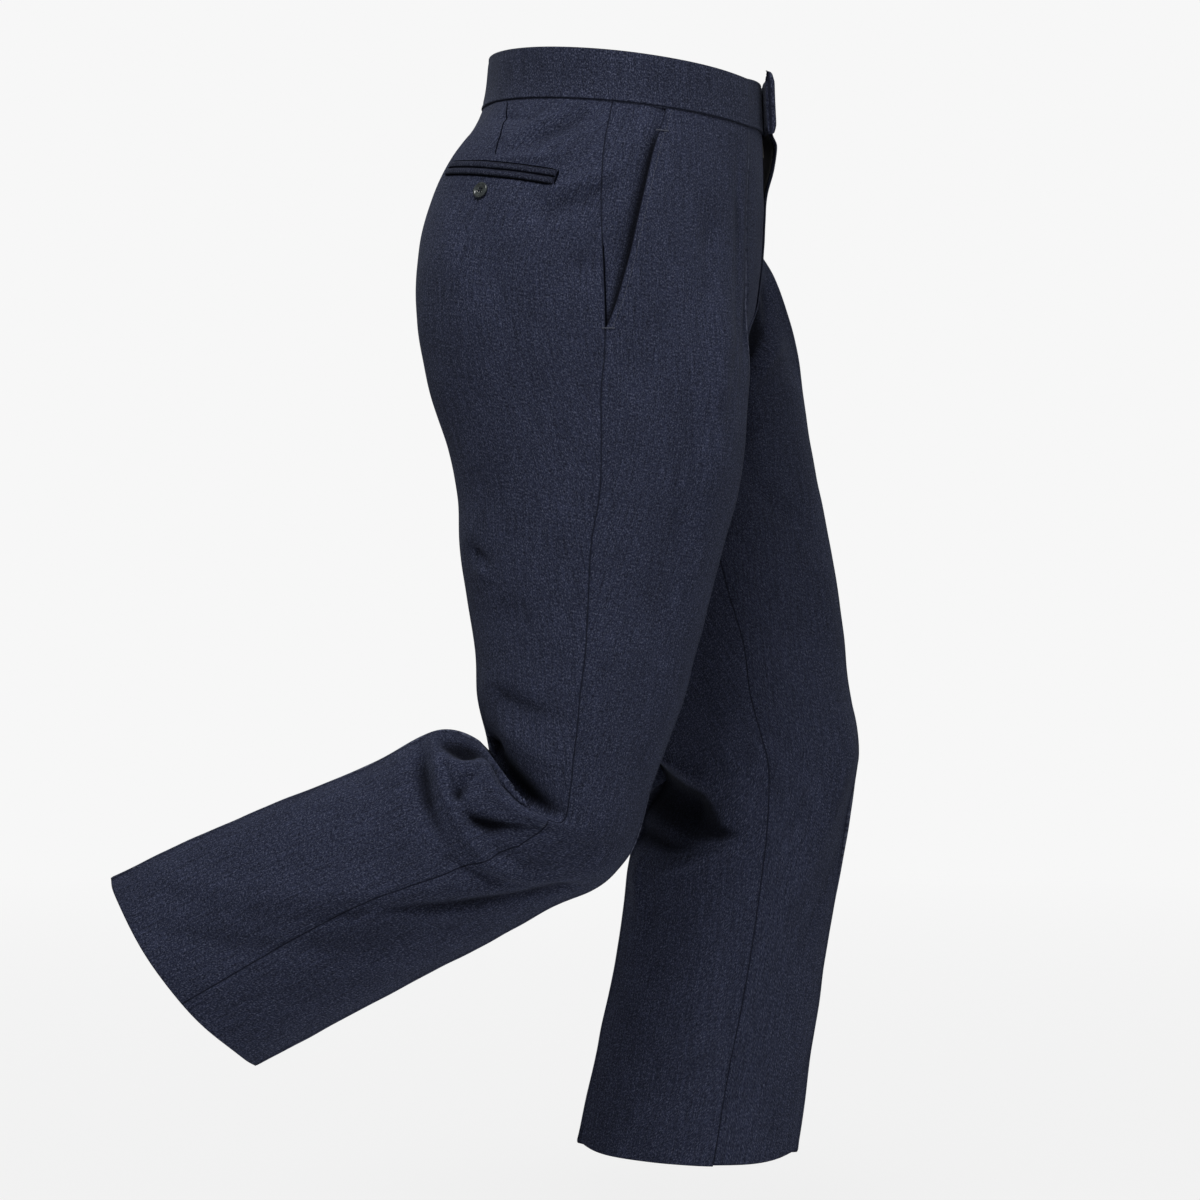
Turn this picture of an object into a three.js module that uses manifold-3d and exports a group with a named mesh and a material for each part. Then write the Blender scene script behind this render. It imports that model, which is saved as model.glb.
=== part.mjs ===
// Wool dress trousers in a running pose, hollow as if worn, made of the pieces that a tailor cuts and sews.
// Millimetres, +Z up. The front faces -Y, the trousers' own left is +X and their right is -X.
// The origin is the middle of the waist opening, at half the waistband's height.

import * as THREE from "three";
import { mergeVertices } from "three/addons/utils/BufferGeometryUtils.js";
import Module from "manifold-3d";

const wasm = await Module();
wasm.setup();

// Cloth and seams
const CLOTH = 1.5; // wall of a trouser panel
const LINING = 0.9; // wall of the fly's lining cloth
const BAND_WALL = 3.2; // waistband: two layers of cloth and a canvas between them
const BAND_PROUD = 1.1; // how far the waistband stands out from the panels
const SEAM = 0.3; // clearance between pieces that meet
const CLEAR = 0.9; // clearance between layers that lie on each other

// How far each hem hangs lower at the sides than at its creases
const HEM_DROP = 10;
const HEM_DROP_ROWS = 1.6;

// Waistband closure and fly
const TAB_REACH = 44; // the left band runs this far past the centre front
const UNDERLAP = 34; // the right band and the fly shield run this far past it, beneath
const TAB_LIFT = 12; // how far the tab's loose end stands off
const TAB_RISE = 5; // how much higher than the band the tab's end sits
const TAB_SAG = 3; // and how much lower its lower edge hangs
const FLY_OVERLAP = 5; // the left front's edge past the centre front
const FLY_FOOT_Z = -196; // where the fly ends
const FLY_FADE = 26; // the overlap dies out over this height at the foot
const FLY_BULGE = 12; // how far the unbuttoned top of the fly stands open
const FLY_BULGE_TOP_Z = -50; // fully open above this height
const FLY_BULGE_FOOT_Z = -112; // and closed below this one
const FLY_BULGE_WIDTH = 42;
const SHIELD_HOLD = 26; // how far the shield reaches behind the right front

// Slanted side pockets
const POCKET_TOP = 54; // from the side seam, along the waist seam
const POCKET_CURVE = 1.55; // 1 is a straight mouth, more bows it forward
const POCKET_GAPE = 2.4; // how far the pocket's mouth stands open
const FACING_UNDER = 18; // how far the facing runs beneath the front

// Hip pockets
const WELT_FROM_SEAM = 44;
const WELT_LENGTH = 140;
const WELT_DROP = 83; // from the waist seam to the slot, at the end by the side seam
const WELT_RISE = 3; // how much higher the other end is
const WELT_HEIGHT = 6.2;
const WELT_WALL = 1.6;
const WELT_SLOT = 1.2; // gap between the two welts
const BUTTON_RADIUS = 7.6;
const BUTTON_DROP = 21; // below the slot
const BUTTON_WALL = 2.8;
const BUTTON_SEAT = 0.35; // clearance under the button
const BUTTON_HOLE = 1;
const BUTTON_HOLE_OFF = 1.7;

// Rows of the section tables, counted from the waistband's top
const BAND_TOP = 0;
const BAND_FOOT = 0.992;
const WAIST_SEAM = 1;
const FLY_FOOT_ROW = 4;
const POCKET_FOOT = 5;
const CROTCH = 7;
const HEM = 24;

const degrees = Math.PI / 180;

// Columns by name, so that a table reads as one line for each section.
function table(names, rows) {
  const columns = {};
  names.split(" ").forEach((name, i) => {
    columns[name] = rows.map((row) => row[i]);
  });
  return columns;
}

// Front and back creases of each leg in side view: the right leg kicks back, the left one stands forward.
const RIGHT_LINES = table("frontY frontZ backY backZ", [
  [-113.5, 5, 112.5, 31],
  [-116, -40.5, 120, -17],
  [-117, -80, 160, -68],
  [-117, -128, 183, -121],
  [-116, -178, 193, -173],
  [-115, -226, 192, -224],
  [-116, -262, 186.5, -262],
  [-115, -292, 179, -294],
  [-111.5, -340, 164.5, -340],
  [-104, -385, 154.8, -385],
  [-92, -430, 153.5, -430],
  [-79, -480, 146, -480],
  [-65.5, -530, 138, -530],
  [-54.5, -572, 137, -570],
  [-37.5, -615, 129, -606],
  [-23.5, -660, 123, -632],
  [-10.5, -707, 111, -660],
  [8, -733, 124, -636],
  [31, -750, 135, -610],
  [69, -767, 174, -602],
  [124, -798, 234, -632],
  [178, -825, 295, -657],
  [232, -854, 356, -682],
  [287, -883, 416, -709],
  [342, -913, 477, -738],
]);
const LEFT_LINES = table("frontY frontZ backY backZ", [
  [-113.5, 5, 112.5, 31],
  [-116, -40.5, 120, -17],
  [-117, -80, 160, -68],
  [-124, -126, 182, -121],
  [-147, -166, 189, -178],
  [-163, -208, 181, -236],
  [-172, -244, 164, -278],
  [-176, -282, 140, -318],
  [-183, -325, 116, -362],
  [-190, -368, 96, -406],
  [-198, -415, 78, -450],
  [-206, -462, 58, -497],
  [-214, -512, 34, -545],
  [-220, -560, 8, -588],
  [-228, -608, -16, -620],
  [-230, -634, -26, -640],
  [-226, -664, -22, -664],
  [-220, -706, -13, -704],
  [-212, -752, -4, -745],
  [-204, -796, 1, -790],
  [-196, -842, 8, -836],
  [-190, -886, 18, -882],
  [-183, -931, 27, -926],
  [-176.5, -978, 37, -970],
  [-171, -1021, 46.5, -1012],
]);

// The centre seam in the same view: the front rise and the back rise, which meet at the fork.
const RISE = table("frontY frontZ backY backZ", [
  [-129.5, 8, 127.6, 33.3],
  [-131.5, -38.5, 135, -16],
  [-133, -81, 160, -68],
  [-132.5, -130, 180, -121],
  [-129, -180, 187, -172],
  [-118, -222, 172, -222],
  [-82, -262, 110, -268],
  [10, -290, 10, -290],
]);

// Shape of both legs' sections. mid is the creases' distance from the centre plane, outer and inner the half
// widths either side of it, and power rounds the section: 1 is an oval and 2 two arcs that meet at sharp creases.
// side and inseam are the seams' angles round the section from the front crease. frontTurn and backTurn are the
// creases' own angles on the waist oval, which the legs don't have.
const SHAPE = table("mid outer inner power side inseam frontTurn backTurn", [
  [74, 81, 74, 1, 97, 90, 28, 28],
  [75, 83, 75, 1, 96, 90, 28, 28],
  [78, 93, 78, 1, 89, 90, 28, 22],
  [82, 98, 82, 1, 84.5, 90, 26, 10],
  [86, 99, 86, 1, 81.5, 90, 20, 2],
  [90, 97, 90, 1, 81.5, 90, 10, 0],
  [92, 94, 92, 1, 83.5, 90, 4, 0],
  [93, 91, 92.8, 1, 86, 90, 0, 0],
  [94, 88, 86, 1.05, 88, 84, 0, 0],
  [94, 84, 80, 1.1, 89, 80, 0, 0],
  [94, 81, 76, 1.15, 90, 78, 0, 0],
  [94, 78, 73, 1.2, 90, 78, 0, 0],
  [94, 75, 70, 1.2, 90, 78, 0, 0],
  [94, 73, 68, 1.2, 90, 82, 0, 0],
  [94, 71, 66, 1.2, 89, 84, 0, 0],
  [94, 69, 65, 1.2, 88, 84, 0, 0],
  [94, 68, 64, 1.2, 87, 81, 0, 0],
  [94, 67, 63, 1.2, 85, 78, 0, 0],
  [94, 66, 62, 1.25, 83, 76, 0, 0],
  [94, 65, 61, 1.3, 83, 75.5, 0, 0],
  [94, 63, 60, 1.35, 82, 75.5, 0, 0],
  [94, 61, 59, 1.4, 82, 75.5, 0, 0],
  [94, 59, 57, 1.45, 81, 76, 0, 0],
  [94, 57, 56, 1.5, 79, 76, 0, 0],
  [94, 56, 55, 1.55, 77, 76, 0, 0],
]);

// Largest folds, drawn in side view from one point to another. face is 1 on the outer side of the leg, -1 on the
// inner side and 0 all round. A positive depth is a trough and a negative one a ridge.
const FOLD_COLUMNS = "face fromY fromZ toY toZ width fromDepth toDepth";
const RIGHT_FOLDS = table(FOLD_COLUMNS, [
  [1, 124, -620, 100, -670, 9, 8, 13],
  [1, 100, -670, 62, -682, 10, 12, 2],
  [1, 134, -630, 108, -672, 9, -5, -7],
  [1, 108, -672, 48, -692, 10, -7, -2],
  [1, 130, -688, 104, -718, 11, 9, 4],
  [1, 158, -636, 134, -702, 12, -4, -5],
  [1, 134, -702, 60, -748, 13, -5, -2],
  [1, 186, -634, 176, -684, 11, 7, 3],
  [1, 41, -743, 214, -761, 9, -2, -3],
  [1, 60, -764, 214, -781, 9, 3, 3],
  [-1, 124, -630, 76, -684, 12, 8, 3],
  [-1, 150, -640, 110, -700, 14, -5, -2],
]);
const LEFT_FOLDS = table(FOLD_COLUMNS, [
  [-1, -24, -650, -66, -678, 14, 13, 8],
  [-1, -66, -678, -96, -694, 14, 8, 2],
  [-1, -30, -622, -92, -672, 16, -6, -2],
  [1, -24, -650, -84, -684, 14, 10, 3],
  [1, -30, -618, -96, -664, 16, -5, -2],
]);

const LEGS = {
  right: { sign: -1, lines: RIGHT_LINES, folds: RIGHT_FOLDS },
  left: { sign: 1, lines: LEFT_LINES, folds: LEFT_FOLDS },
};

// Colours
const WOOL = 0x2c3044;
const BAND_CLOTH = 0x2a2e41;
const WELT_CLOTH = 0x26293a;
const LINING_CLOTH = 0x14151b;
const HORN = 0x2b302f;

const clamp01 = (t) => Math.min(1, Math.max(0, t));
const mix = (a, b, t) => a + (b - a) * t;
const ease = (from, to, x) => {
  const t = clamp01((x - from) / (to - from));
  return t * t * (3 - 2 * t);
};

// A smooth curve through a column's values, read at a fractional row.
function read(column, row) {
  const last = column.length - 1;
  const i = Math.min(last - 1, Math.max(0, Math.floor(row)));
  const t = row - i;
  const b = column[i];
  const c = column[i + 1];
  const a = i > 0 ? column[i - 1] : 2 * b - c;
  const d = i + 1 < last ? column[i + 2] : 2 * c - b;
  const slopeB = (c - a) / 2;
  const slopeC = (d - b) / 2;
  const tt = t * t;
  const ttt = tt * t;
  return b * (2 * ttt - 3 * tt + 1) + slopeB * (ttt - 2 * tt + t) + c * (3 * tt - 2 * ttt) + slopeC * (ttt - tt);
}

const readPair = (columns, y, z, row) => [read(columns[y], row), read(columns[z], row)];

// The section's lines at a row: both creases, the middle between them and the inner edges of front and back.
function section(leg, row) {
  const front = readPair(leg.lines, "frontY", "frontZ", row);
  const back = readPair(leg.lines, "backY", "backZ", row);
  const middle = [(front[0] + back[0]) / 2, (front[1] + back[1]) / 2];
  if (row < CROTCH) {
    return {
      front,
      back,
      middle,
      innerFront: readPair(RISE, "frontY", "frontZ", row),
      innerBack: readPair(RISE, "backY", "backZ", row),
    };
  }
  const fork = readPair(RISE, "frontY", "frontZ", CROTCH);
  const top = [
    (leg.lines.frontY[CROTCH] + leg.lines.backY[CROTCH]) / 2,
    (leg.lines.frontZ[CROTCH] + leg.lines.backZ[CROTCH]) / 2,
  ];
  const left = 1 - ease(CROTCH, CROTCH + 2.6, row);
  const inner = [middle[0] + (fork[0] - top[0]) * left, middle[1] + (fork[1] - top[1]) * left];
  return { front, back, middle, innerFront: inner, innerBack: inner };
}

const CREASE_HALF_ANGLE = 16;
const CREASE_HEIGHT = 2.4;

// How far the cloth beside a pressed crease lies behind it.
function creaseSetBack(row, fromCrease, isFront) {
  const height = isFront ? mix(1, CREASE_HEIGHT, ease(1, 9, row)) : CREASE_HEIGHT * ease(8, 13, row);
  const t = clamp01(1 - Math.abs(fromCrease) / CREASE_HALF_ANGLE);
  return height * (1 - t * t) * Math.cos(fromCrease * degrees);
}

// How much lower the hem hangs beside its creases, as a move in side view.
function hemDrop(leg, row, fromCrease) {
  const share = ease(HEM - HEM_DROP_ROWS, HEM, row) * (1 - Math.cos(fromCrease * degrees) ** 3);
  if (share === 0) return [0, 0];
  const above = section(leg, HEM - 1).middle;
  const below = section(leg, HEM).middle;
  const length = Math.hypot(below[0] - above[0], below[1] - above[1]);
  return [0, 1].map((i) => (HEM_DROP * share * (below[i] - above[i])) / length);
}

// The base form of a leg: angle runs from -90 at the inner edge of the front, by 0 at the front crease and 180 at
// the back crease, to 270 at the inner edge of the back.
function basePoint(leg, row, angle) {
  const turned = angle > 270 ? angle - 360 : angle;
  const isFront = turned <= 90;
  const fromCrease = isFront ? turned : turned - 180;
  const isOuter = isFront ? fromCrease >= 0 : fromCrease < 0;
  const lines = section(leg, row);
  const crease = isFront ? lines.front : lines.back;
  const mid = read(SHAPE.mid, row);
  const power = read(SHAPE.power, row);
  const share = Math.abs(fromCrease) / 90;
  let along;
  let across;
  let end;
  let endX;
  if (isOuter) {
    const turn = Math.max(0, read(isFront ? SHAPE.frontTurn : SHAPE.backTurn, row)) * degrees;
    const theta = mix(turn, Math.PI / 2, share);
    const start = Math.sin(turn) ** power;
    along = (Math.cos(turn) - Math.cos(theta)) / Math.cos(turn);
    across = (Math.sin(theta) ** power - start) / (1 - start);
    end = lines.middle;
    endX = mid + read(SHAPE.outer, row);
  } else {
    const legLike = ease(3.6, CROTCH, row);
    const theta = (share * Math.PI) / 2;
    along = mix(2 * share - share * share, 1 - Math.cos(theta), legLike);
    across = mix(share, Math.sin(theta) ** power, legLike);
    end = isFront ? lines.innerFront : lines.innerBack;
    endX = Math.max(SEAM / 2, mid - read(SHAPE.inner, row));
  }
  const out = [crease[0] - lines.middle[0], crease[1] - lines.middle[1]];
  const setBack = creaseSetBack(row, fromCrease, isFront) / Math.hypot(out[0], out[1]);
  const drop = hemDrop(leg, row, fromCrease);
  return new THREE.Vector3(
    leg.sign * mix(mid, endX, across),
    mix(crease[0], end[0], along) + drop[0] - out[0] * setBack,
    mix(crease[1], end[1], along) + drop[1] - out[1] * setBack,
  );
}

// The outward normal of a surface given by rows and angles, from points close by on the same piece.
function normalOf(point, sign, row, angle) {
  const rowStep = 0.04;
  const angleStep = 0.8;
  const low = angle > 90 ? 90 : -90;
  const lowAngle = Math.max(angle - angleStep, low === 90 && angle - angleStep < 90 ? angle - angleStep : low);
  const highAngle = angle <= 270 ? Math.min(angle + angleStep, 270) : angle + angleStep;
  const alongAngle = point(row, highAngle).sub(point(row, lowAngle));
  const up = Math.max(row - rowStep, BAND_TOP);
  const down = Math.min(row + rowStep, HEM);
  const alongRow = point(down, angle).sub(point(up, angle));
  return alongAngle.cross(alongRow).normalize().multiplyScalar(-sign);
}

// How deep the folds are at a point of the base form.
function foldDepth(leg, point, normal) {
  const folds = leg.folds;
  let depth = 0;
  folds.face.forEach((face, i) => {
    const runY = folds.toY[i] - folds.fromY[i];
    const runZ = folds.toZ[i] - folds.fromZ[i];
    const offY = point.y - folds.fromY[i];
    const offZ = point.z - folds.fromZ[i];
    const t = (offY * runY + offZ * runZ) / (runY * runY + runZ * runZ);
    const held = clamp01(t);
    const away = Math.hypot(offY - runY * held, offZ - runZ * held) / folds.width[i];
    const facing = face === 0 ? 1 : ease(0.05, 0.45, normal.x * leg.sign * face);
    depth += mix(folds.fromDepth[i], folds.toDepth[i], held) * Math.exp(-away * away) * facing;
  });
  return depth;
}

// The finished outer face of the cloth.
function clothPoint(leg, row, angle) {
  const base = (r, a) => basePoint(leg, r, a);
  const point = basePoint(leg, row, angle);
  const normal = normalOf(base, leg.sign, row, angle);
  return point.addScaledVector(normal, -foldDepth(leg, point, normal));
}

const clothNormal = (leg, row, angle) => normalOf((r, a) => clothPoint(leg, r, a), leg.sign, row, angle);

// The angle that lies a distance along the section from another angle.
function angleAtDistance(leg, row, startAngle, distance) {
  const step = Math.sign(distance) * 1.5;
  let angle = startAngle;
  let left = Math.abs(distance);
  let from = basePoint(leg, row, angle);
  while (left > 0) {
    const to = basePoint(leg, row, angle + step);
    const run = to.distanceTo(from);
    if (run >= left) return angle + (step * left) / run;
    left -= run;
    angle += step;
    from = to;
  }
  return angle;
}

// The row that lies a distance below the waist seam.
function rowAtDrop(leg, angle, drop) {
  const step = 0.05;
  let row = WAIST_SEAM;
  let left = drop;
  let from = basePoint(leg, row, angle);
  while (left > 0) {
    const to = basePoint(leg, row + step, angle);
    const run = to.distanceTo(from);
    if (run >= left) return row + (step * left) / run;
    left -= run;
    row += step;
    from = to;
  }
  return row;
}

const sideAngle = (row) => read(SHAPE.side, row);
const inseamAngle = (row) => (row <= CROTCH ? 90 : Math.min(90, read(SHAPE.inseam, row)));

// Where the front's outer edge runs: down the pocket's slant, then down the side seam.
function mouthAngle(leg, row) {
  const seam = sideAngle(row);
  if (row >= POCKET_FOOT) return seam;
  const slant = POCKET_TOP * (1 - ((row - WAIST_SEAM) / (POCKET_FOOT - WAIST_SEAM)) ** POCKET_CURVE);
  return angleAtDistance(leg, row, seam, -slant);
}

// A closed wall between two grids of points, outer and inner, each a list of rows.
function wallGeometry(outer, inner) {
  const rows = outer.length;
  const columns = outer[0].length;
  const positions = [...outer.flat(), ...inner.flat()].flatMap((p) => [p.x, p.y, p.z]);
  const index = [];
  const layer = rows * columns;
  const quad = (a, b, c, d) => index.push(a, b, c, a, c, d);
  const node = (row, column) => row * columns + column;
  for (let r = 0; r + 1 < rows; r++) {
    for (let c = 0; c + 1 < columns; c++) {
      const a = node(r, c);
      const b = node(r, c + 1);
      const d = node(r + 1, c);
      const e = node(r + 1, c + 1);
      quad(a, b, e, d);
      quad(a + layer, d + layer, e + layer, b + layer);
    }
  }
  const rim = [];
  for (let c = 0; c < columns; c++) rim.push(node(0, c));
  for (let r = 1; r < rows; r++) rim.push(node(r, columns - 1));
  for (let c = columns - 2; c >= 0; c--) rim.push(node(rows - 1, c));
  for (let r = rows - 2; r > 0; r--) rim.push(node(r, 0));
  rim.forEach((a, i) => {
    const b = rim[(i + 1) % rim.length];
    quad(b, a, a + layer, b + layer);
  });
  const geometry = new THREE.BufferGeometry();
  geometry.setAttribute("position", new THREE.Float32BufferAttribute(positions, 3));
  geometry.setIndex(index);
  return facingOut(geometry);
}

// Turns the faces of a closed geometry round if they point inwards.
function facingOut(geometry) {
  const p = geometry.attributes.position;
  const index = geometry.index.array;
  const [a, b, c] = [new THREE.Vector3(), new THREE.Vector3(), new THREE.Vector3()];
  let volume = 0;
  for (let i = 0; i < index.length; i += 3) {
    a.fromBufferAttribute(p, index[i]);
    b.fromBufferAttribute(p, index[i + 1]);
    c.fromBufferAttribute(p, index[i + 2]);
    volume += a.dot(b.cross(c));
  }
  if (volume < 0) {
    for (let i = 0; i < index.length; i += 3) {
      [index[i + 1], index[i + 2]] = [index[i + 2], index[i + 1]];
    }
  }
  geometry.computeVertexNormals();
  return geometry;
}

function named(name, geometry, colour, roughness) {
  const material = new THREE.MeshStandardMaterial({ color: colour, roughness, metalness: 0 });
  const mesh = new THREE.Mesh(geometry, material);
  mesh.name = name;
  return mesh;
}

// Even steps from one value to another, both ends included.
const steps = (from, to, count) => Array.from({ length: count + 1 }, (_, i) => mix(from, to, i / count));

// A piece of cloth that follows the leg's face. place(row, share) gives {row, angle, lift, push} at each share of
// the way across: lift is how far its outer face stands off the leg's face, and push moves it without turning it.
function clothPiece(leg, rows, shares, place, wall) {
  const outer = [];
  const inner = [];
  rows.forEach((row, r) => {
    const outerRow = [];
    const innerRow = [];
    shares.forEach((share, c) => {
      const at = place(row, share);
      const host = at.leg ?? leg;
      const point = clothPoint(host, row, at.angle);
      const normal = clothNormal(host, row, at.angle);
      point.addScaledVector(normal, at.lift ?? 0);
      if (at.push) point.add(at.push);
      outerRow.push(point);
      innerRow.push(point.clone().addScaledVector(normal, -wall));
    });
    outer.push(outerRow);
    inner.push(innerRow);
  });
  insetEdges(outer, inner);
  return wallGeometry(outer, inner);
}

// Draws the four edges of a piece in by half a seam's clearance.
function insetEdges(outer, inner) {
  const inset = (edge, next) => {
    const towards = next.clone().sub(edge);
    edge.addScaledVector(towards.normalize(), SEAM / 2);
  };
  for (const grid of [outer, inner]) {
    const lastRow = grid.length - 1;
    const lastColumn = grid[0].length - 1;
    for (const row of grid) {
      inset(row[0], row[1]);
      inset(row[lastColumn], row[lastColumn - 1]);
    }
    for (let c = 0; c <= lastColumn; c++) {
      inset(grid[0][c], grid[1][c]);
      inset(grid[lastRow][c], grid[lastRow - 1][c]);
    }
  }
}

// Rows of the panels: closer where the fork turns under and where the knee folds.
const PANEL_ROWS = [
  ...steps(WAIST_SEAM, 6, 10),
  6.4,
  6.72,
  6.9,
  ...steps(CROTCH, 13, 8),
  ...steps(13.5, 15, 3),
  ...steps(15.25, 19, 15),
  19.4,
  ...steps(20, HEM, 5),
];

// Shares of the way across the panels: closer at the fly.
const FLY_FACING_FROM = 0.09;
const FLY_FACING_TO = 0.3;
const FRONT_SHARES = [0, 0.04, FLY_FACING_FROM, 0.15, 0.22, FLY_FACING_TO, 0.4, ...steps(0.5, 1, 6)];
const BACK_SHARES = steps(0, 1, 14);

// How far the left front stands off at the fly: a flat overlap, and a bulge where the top hangs open.
function flyLift(point) {
  const overlap = (CLOTH + 2 * SEAM) * (1 - ease(2, 16, point.x)) * ease(FLY_FOOT_Z - FLY_FADE, FLY_FOOT_Z, point.z);
  const open = ease(FLY_BULGE_FOOT_Z, FLY_BULGE_TOP_Z, point.z);
  return overlap + FLY_BULGE * open * (1 - ease(0, FLY_BULGE_WIDTH, point.x));
}

// How far the front lifts beside the pocket's mouth.
function mouthLift(leg, row, share) {
  if (row >= POCKET_FOOT) return 0;
  const down = (row - WAIST_SEAM) / (POCKET_FOOT - WAIST_SEAM);
  return POCKET_GAPE * Math.sin(Math.PI * clamp01((down - 0.08) / 0.92)) * ease(0.82, 1, share);
}

// The angle at a share of the way across a panel, whose crease lies at half the way.
function panelAngle(from, crease, to, share) {
  return share < 0.5 ? mix(from, crease, share * 2) : mix(crease, to, share * 2 - 1);
}

// A place on either front, where an angle past the centre front lies on the other leg's side.
function frontPlace(side, angle) {
  const other = side === "left" ? "right" : "left";
  return angle >= -90 ? { leg: LEGS[side], angle } : { leg: LEGS[other], angle: -180 - angle };
}

// The left front runs past the centre along the fly, over the right one.
function leftFrontPlace(row, share) {
  const leg = LEGS.left;
  const z = basePoint(leg, row, -90).z;
  const past = FLY_OVERLAP * ease(FLY_FOOT_Z, FLY_FOOT_Z + FLY_FADE, z);
  const pastAngle = past > 0 && row < CROTCH ? angleAtDistance(LEGS.right, row, -90, past) + 90 : 0;
  const angle = panelAngle(-inseamAngle(row) - pastAngle, 0, mouthAngle(leg, row), share);
  const at = frontPlace("left", angle);
  return { ...at, lift: mouthLift(leg, row, share) + flyLift(basePoint(at.leg, row, at.angle)) };
}

function frontPanel(side) {
  const leg = LEGS[side];
  const place = (row, share) => {
    if (side === "left") return leftFrontPlace(row, share);
    const angle = panelAngle(-inseamAngle(row), 0, mouthAngle(leg, row), share);
    return { angle, lift: mouthLift(leg, row, share) };
  };
  return named(`${side}_front`, clothPiece(leg, PANEL_ROWS, FRONT_SHARES, place, CLOTH), WOOL, 0.92);
}

function backPanel(side) {
  const leg = LEGS[side];
  const place = (row, share) => ({ angle: panelAngle(sideAngle(row), 180, 360 - inseamAngle(row), share) });
  return named(`${side}_back`, clothPiece(leg, PANEL_ROWS, BACK_SHARES, place, CLOTH), WOOL, 0.92);
}

// The cloth that shows behind the slanted mouth, from the side seam to just beneath the front.
function pocketFacing(side) {
  const leg = LEGS[side];
  const under = -(CLOTH + CLEAR);
  const rows = steps(WAIST_SEAM, POCKET_FOOT, 8);
  const shares = steps(0, 1, 8);
  const place = (row, share) => {
    const seam = sideAngle(row);
    const mouth = mouthAngle(leg, row);
    const far = angleAtDistance(leg, row, mouth, -FACING_UNDER);
    const angle = mix(far, seam, share);
    const fromMouth = basePoint(leg, row, angle).distanceTo(basePoint(leg, row, mouth));
    const outside = angle > mouth ? ease(1, 14, fromMouth) * (1 - ease(3.4, 4.5, row)) : 0;
    return { angle, lift: under * (1 - outside) };
  };
  return named(`${side}_pocket_facing`, clothPiece(leg, rows, shares, place, CLOTH), WOOL, 0.92);
}

// The waistband's angle round the waist from the centre front: negative is past it, on the other side.
function bandPlace(side, around) {
  const other = side === "left" ? "right" : "left";
  return around >= 0
    ? { leg: LEGS[side], angle: around - 90 }
    : { leg: LEGS[other], angle: -around - 90 };
}

function waistband(side) {
  const leg = LEGS[side];
  const reach = side === "left" ? TAB_REACH : UNDERLAP;
  const past = angleAtDistance(leg, WAIST_SEAM, -90, reach) + 90;
  const fine = 9;
  const shares = [...steps(-past, past, fine), ...steps(past + 9, 360, 30)];
  const rows = steps(BAND_TOP, BAND_FOOT, 3);
  const place = (row, around) => {
    const at = bandPlace(side, around);
    let lift = BAND_PROUD;
    let rise = 0;
    if (side === "left") {
      const under = angleAtDistance(leg, WAIST_SEAM, -90, UNDERLAP) + 90;
      lift += (BAND_WALL + CLEAR) * (1 - ease(under + 2, under + 24, around));
      const towardsEnd = ease(past * 0.1, past, -around);
      lift += TAB_LIFT * towardsEnd;
      rise = towardsEnd * mix(TAB_RISE, -TAB_SAG, row);
    }
    return { ...at, lift, push: new THREE.Vector3(0, 0, rise) };
  };
  return named(`${side}_waistband`, clothPiece(leg, rows, shares, place, BAND_WALL), BAND_CLOTH, 0.9);
}

// The lining cloth on the inside of the left fly.
function flyFacing() {
  const rows = PANEL_ROWS.filter((row) => row <= FLY_FOOT_ROW);
  const shares = FRONT_SHARES.filter((share) => share >= FLY_FACING_FROM && share <= FLY_FACING_TO);
  const place = (row, share) => {
    const at = leftFrontPlace(row, share);
    return { ...at, lift: at.lift - CLOTH - 2 * SEAM };
  };
  return named("fly_facing", clothPiece(LEGS.left, rows, shares, place, LINING), LINING_CLOTH, 0.8);
}

// The shield behind the zip, sewn to the right front and reaching across beneath the left one.
function flyShield() {
  const leg = LEGS.right;
  const rows = steps(WAIST_SEAM, FLY_FOOT_ROW, 6);
  const shares = steps(-1, 1, 10);
  const place = (row, across) => {
    const reach = across < 0 ? UNDERLAP : SHIELD_HOLD;
    const host = across < 0 ? LEGS.left : LEGS.right;
    const angle = angleAtDistance(host, row, -90, Math.max(0.01, Math.abs(across) * reach));
    const depth = mix(CLOTH + 0.7, CLOTH + LINING + 2, ease(0.3, -0.2, across));
    return { leg: host, angle, lift: -depth };
  };
  return named("fly_shield", clothPiece(leg, rows, shares, place, LINING), WELT_CLOTH, 0.85);
}

// One welt of a hip pocket, above or below its slot.
function welt(side, level) {
  const leg = LEGS[side];
  const seamRow = rowAtDrop(leg, sideAngle(2.5), WELT_DROP);
  const start = angleAtDistance(leg, seamRow, sideAngle(seamRow), WELT_FROM_SEAM);
  const end = angleAtDistance(leg, seamRow, start, WELT_LENGTH);
  const near = level * (WELT_SLOT / 2);
  const far = level * (WELT_SLOT / 2 + WELT_HEIGHT);
  const drops = steps(Math.min(near, far), Math.max(near, far), 1);
  const outer = [];
  const inner = [];
  drops.forEach((drop) => {
    const outerRow = [];
    const innerRow = [];
    steps(start, end, 14).forEach((angle, i) => {
      const row = rowAtDrop(leg, angle, WELT_DROP - (WELT_RISE * i) / 14 + drop);
      const normal = clothNormal(leg, row, angle);
      const point = clothPoint(leg, row, angle);
      innerRow.push(point.clone().addScaledVector(normal, SEAM));
      outerRow.push(point.clone().addScaledVector(normal, SEAM + WELT_WALL));
    });
    outer.push(outerRow);
    inner.push(innerRow);
  });
  const name = `${side}_welt_${level < 0 ? "upper" : "lower"}`;
  return named(name, wallGeometry(outer, inner), WELT_CLOTH, 0.9);
}

// A closed geometry as a manifold-3d solid, and back.
function toSolid(geometry) {
  const bare = geometry.clone();
  bare.deleteAttribute("normal");
  bare.deleteAttribute("uv");
  const merged = mergeVertices(bare, 1e-4);
  return new wasm.Manifold(
    new wasm.Mesh({
      numProp: 3,
      vertProperties: merged.attributes.position.array,
      triVerts: new Uint32Array(merged.index.array),
    }),
  );
}

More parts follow.
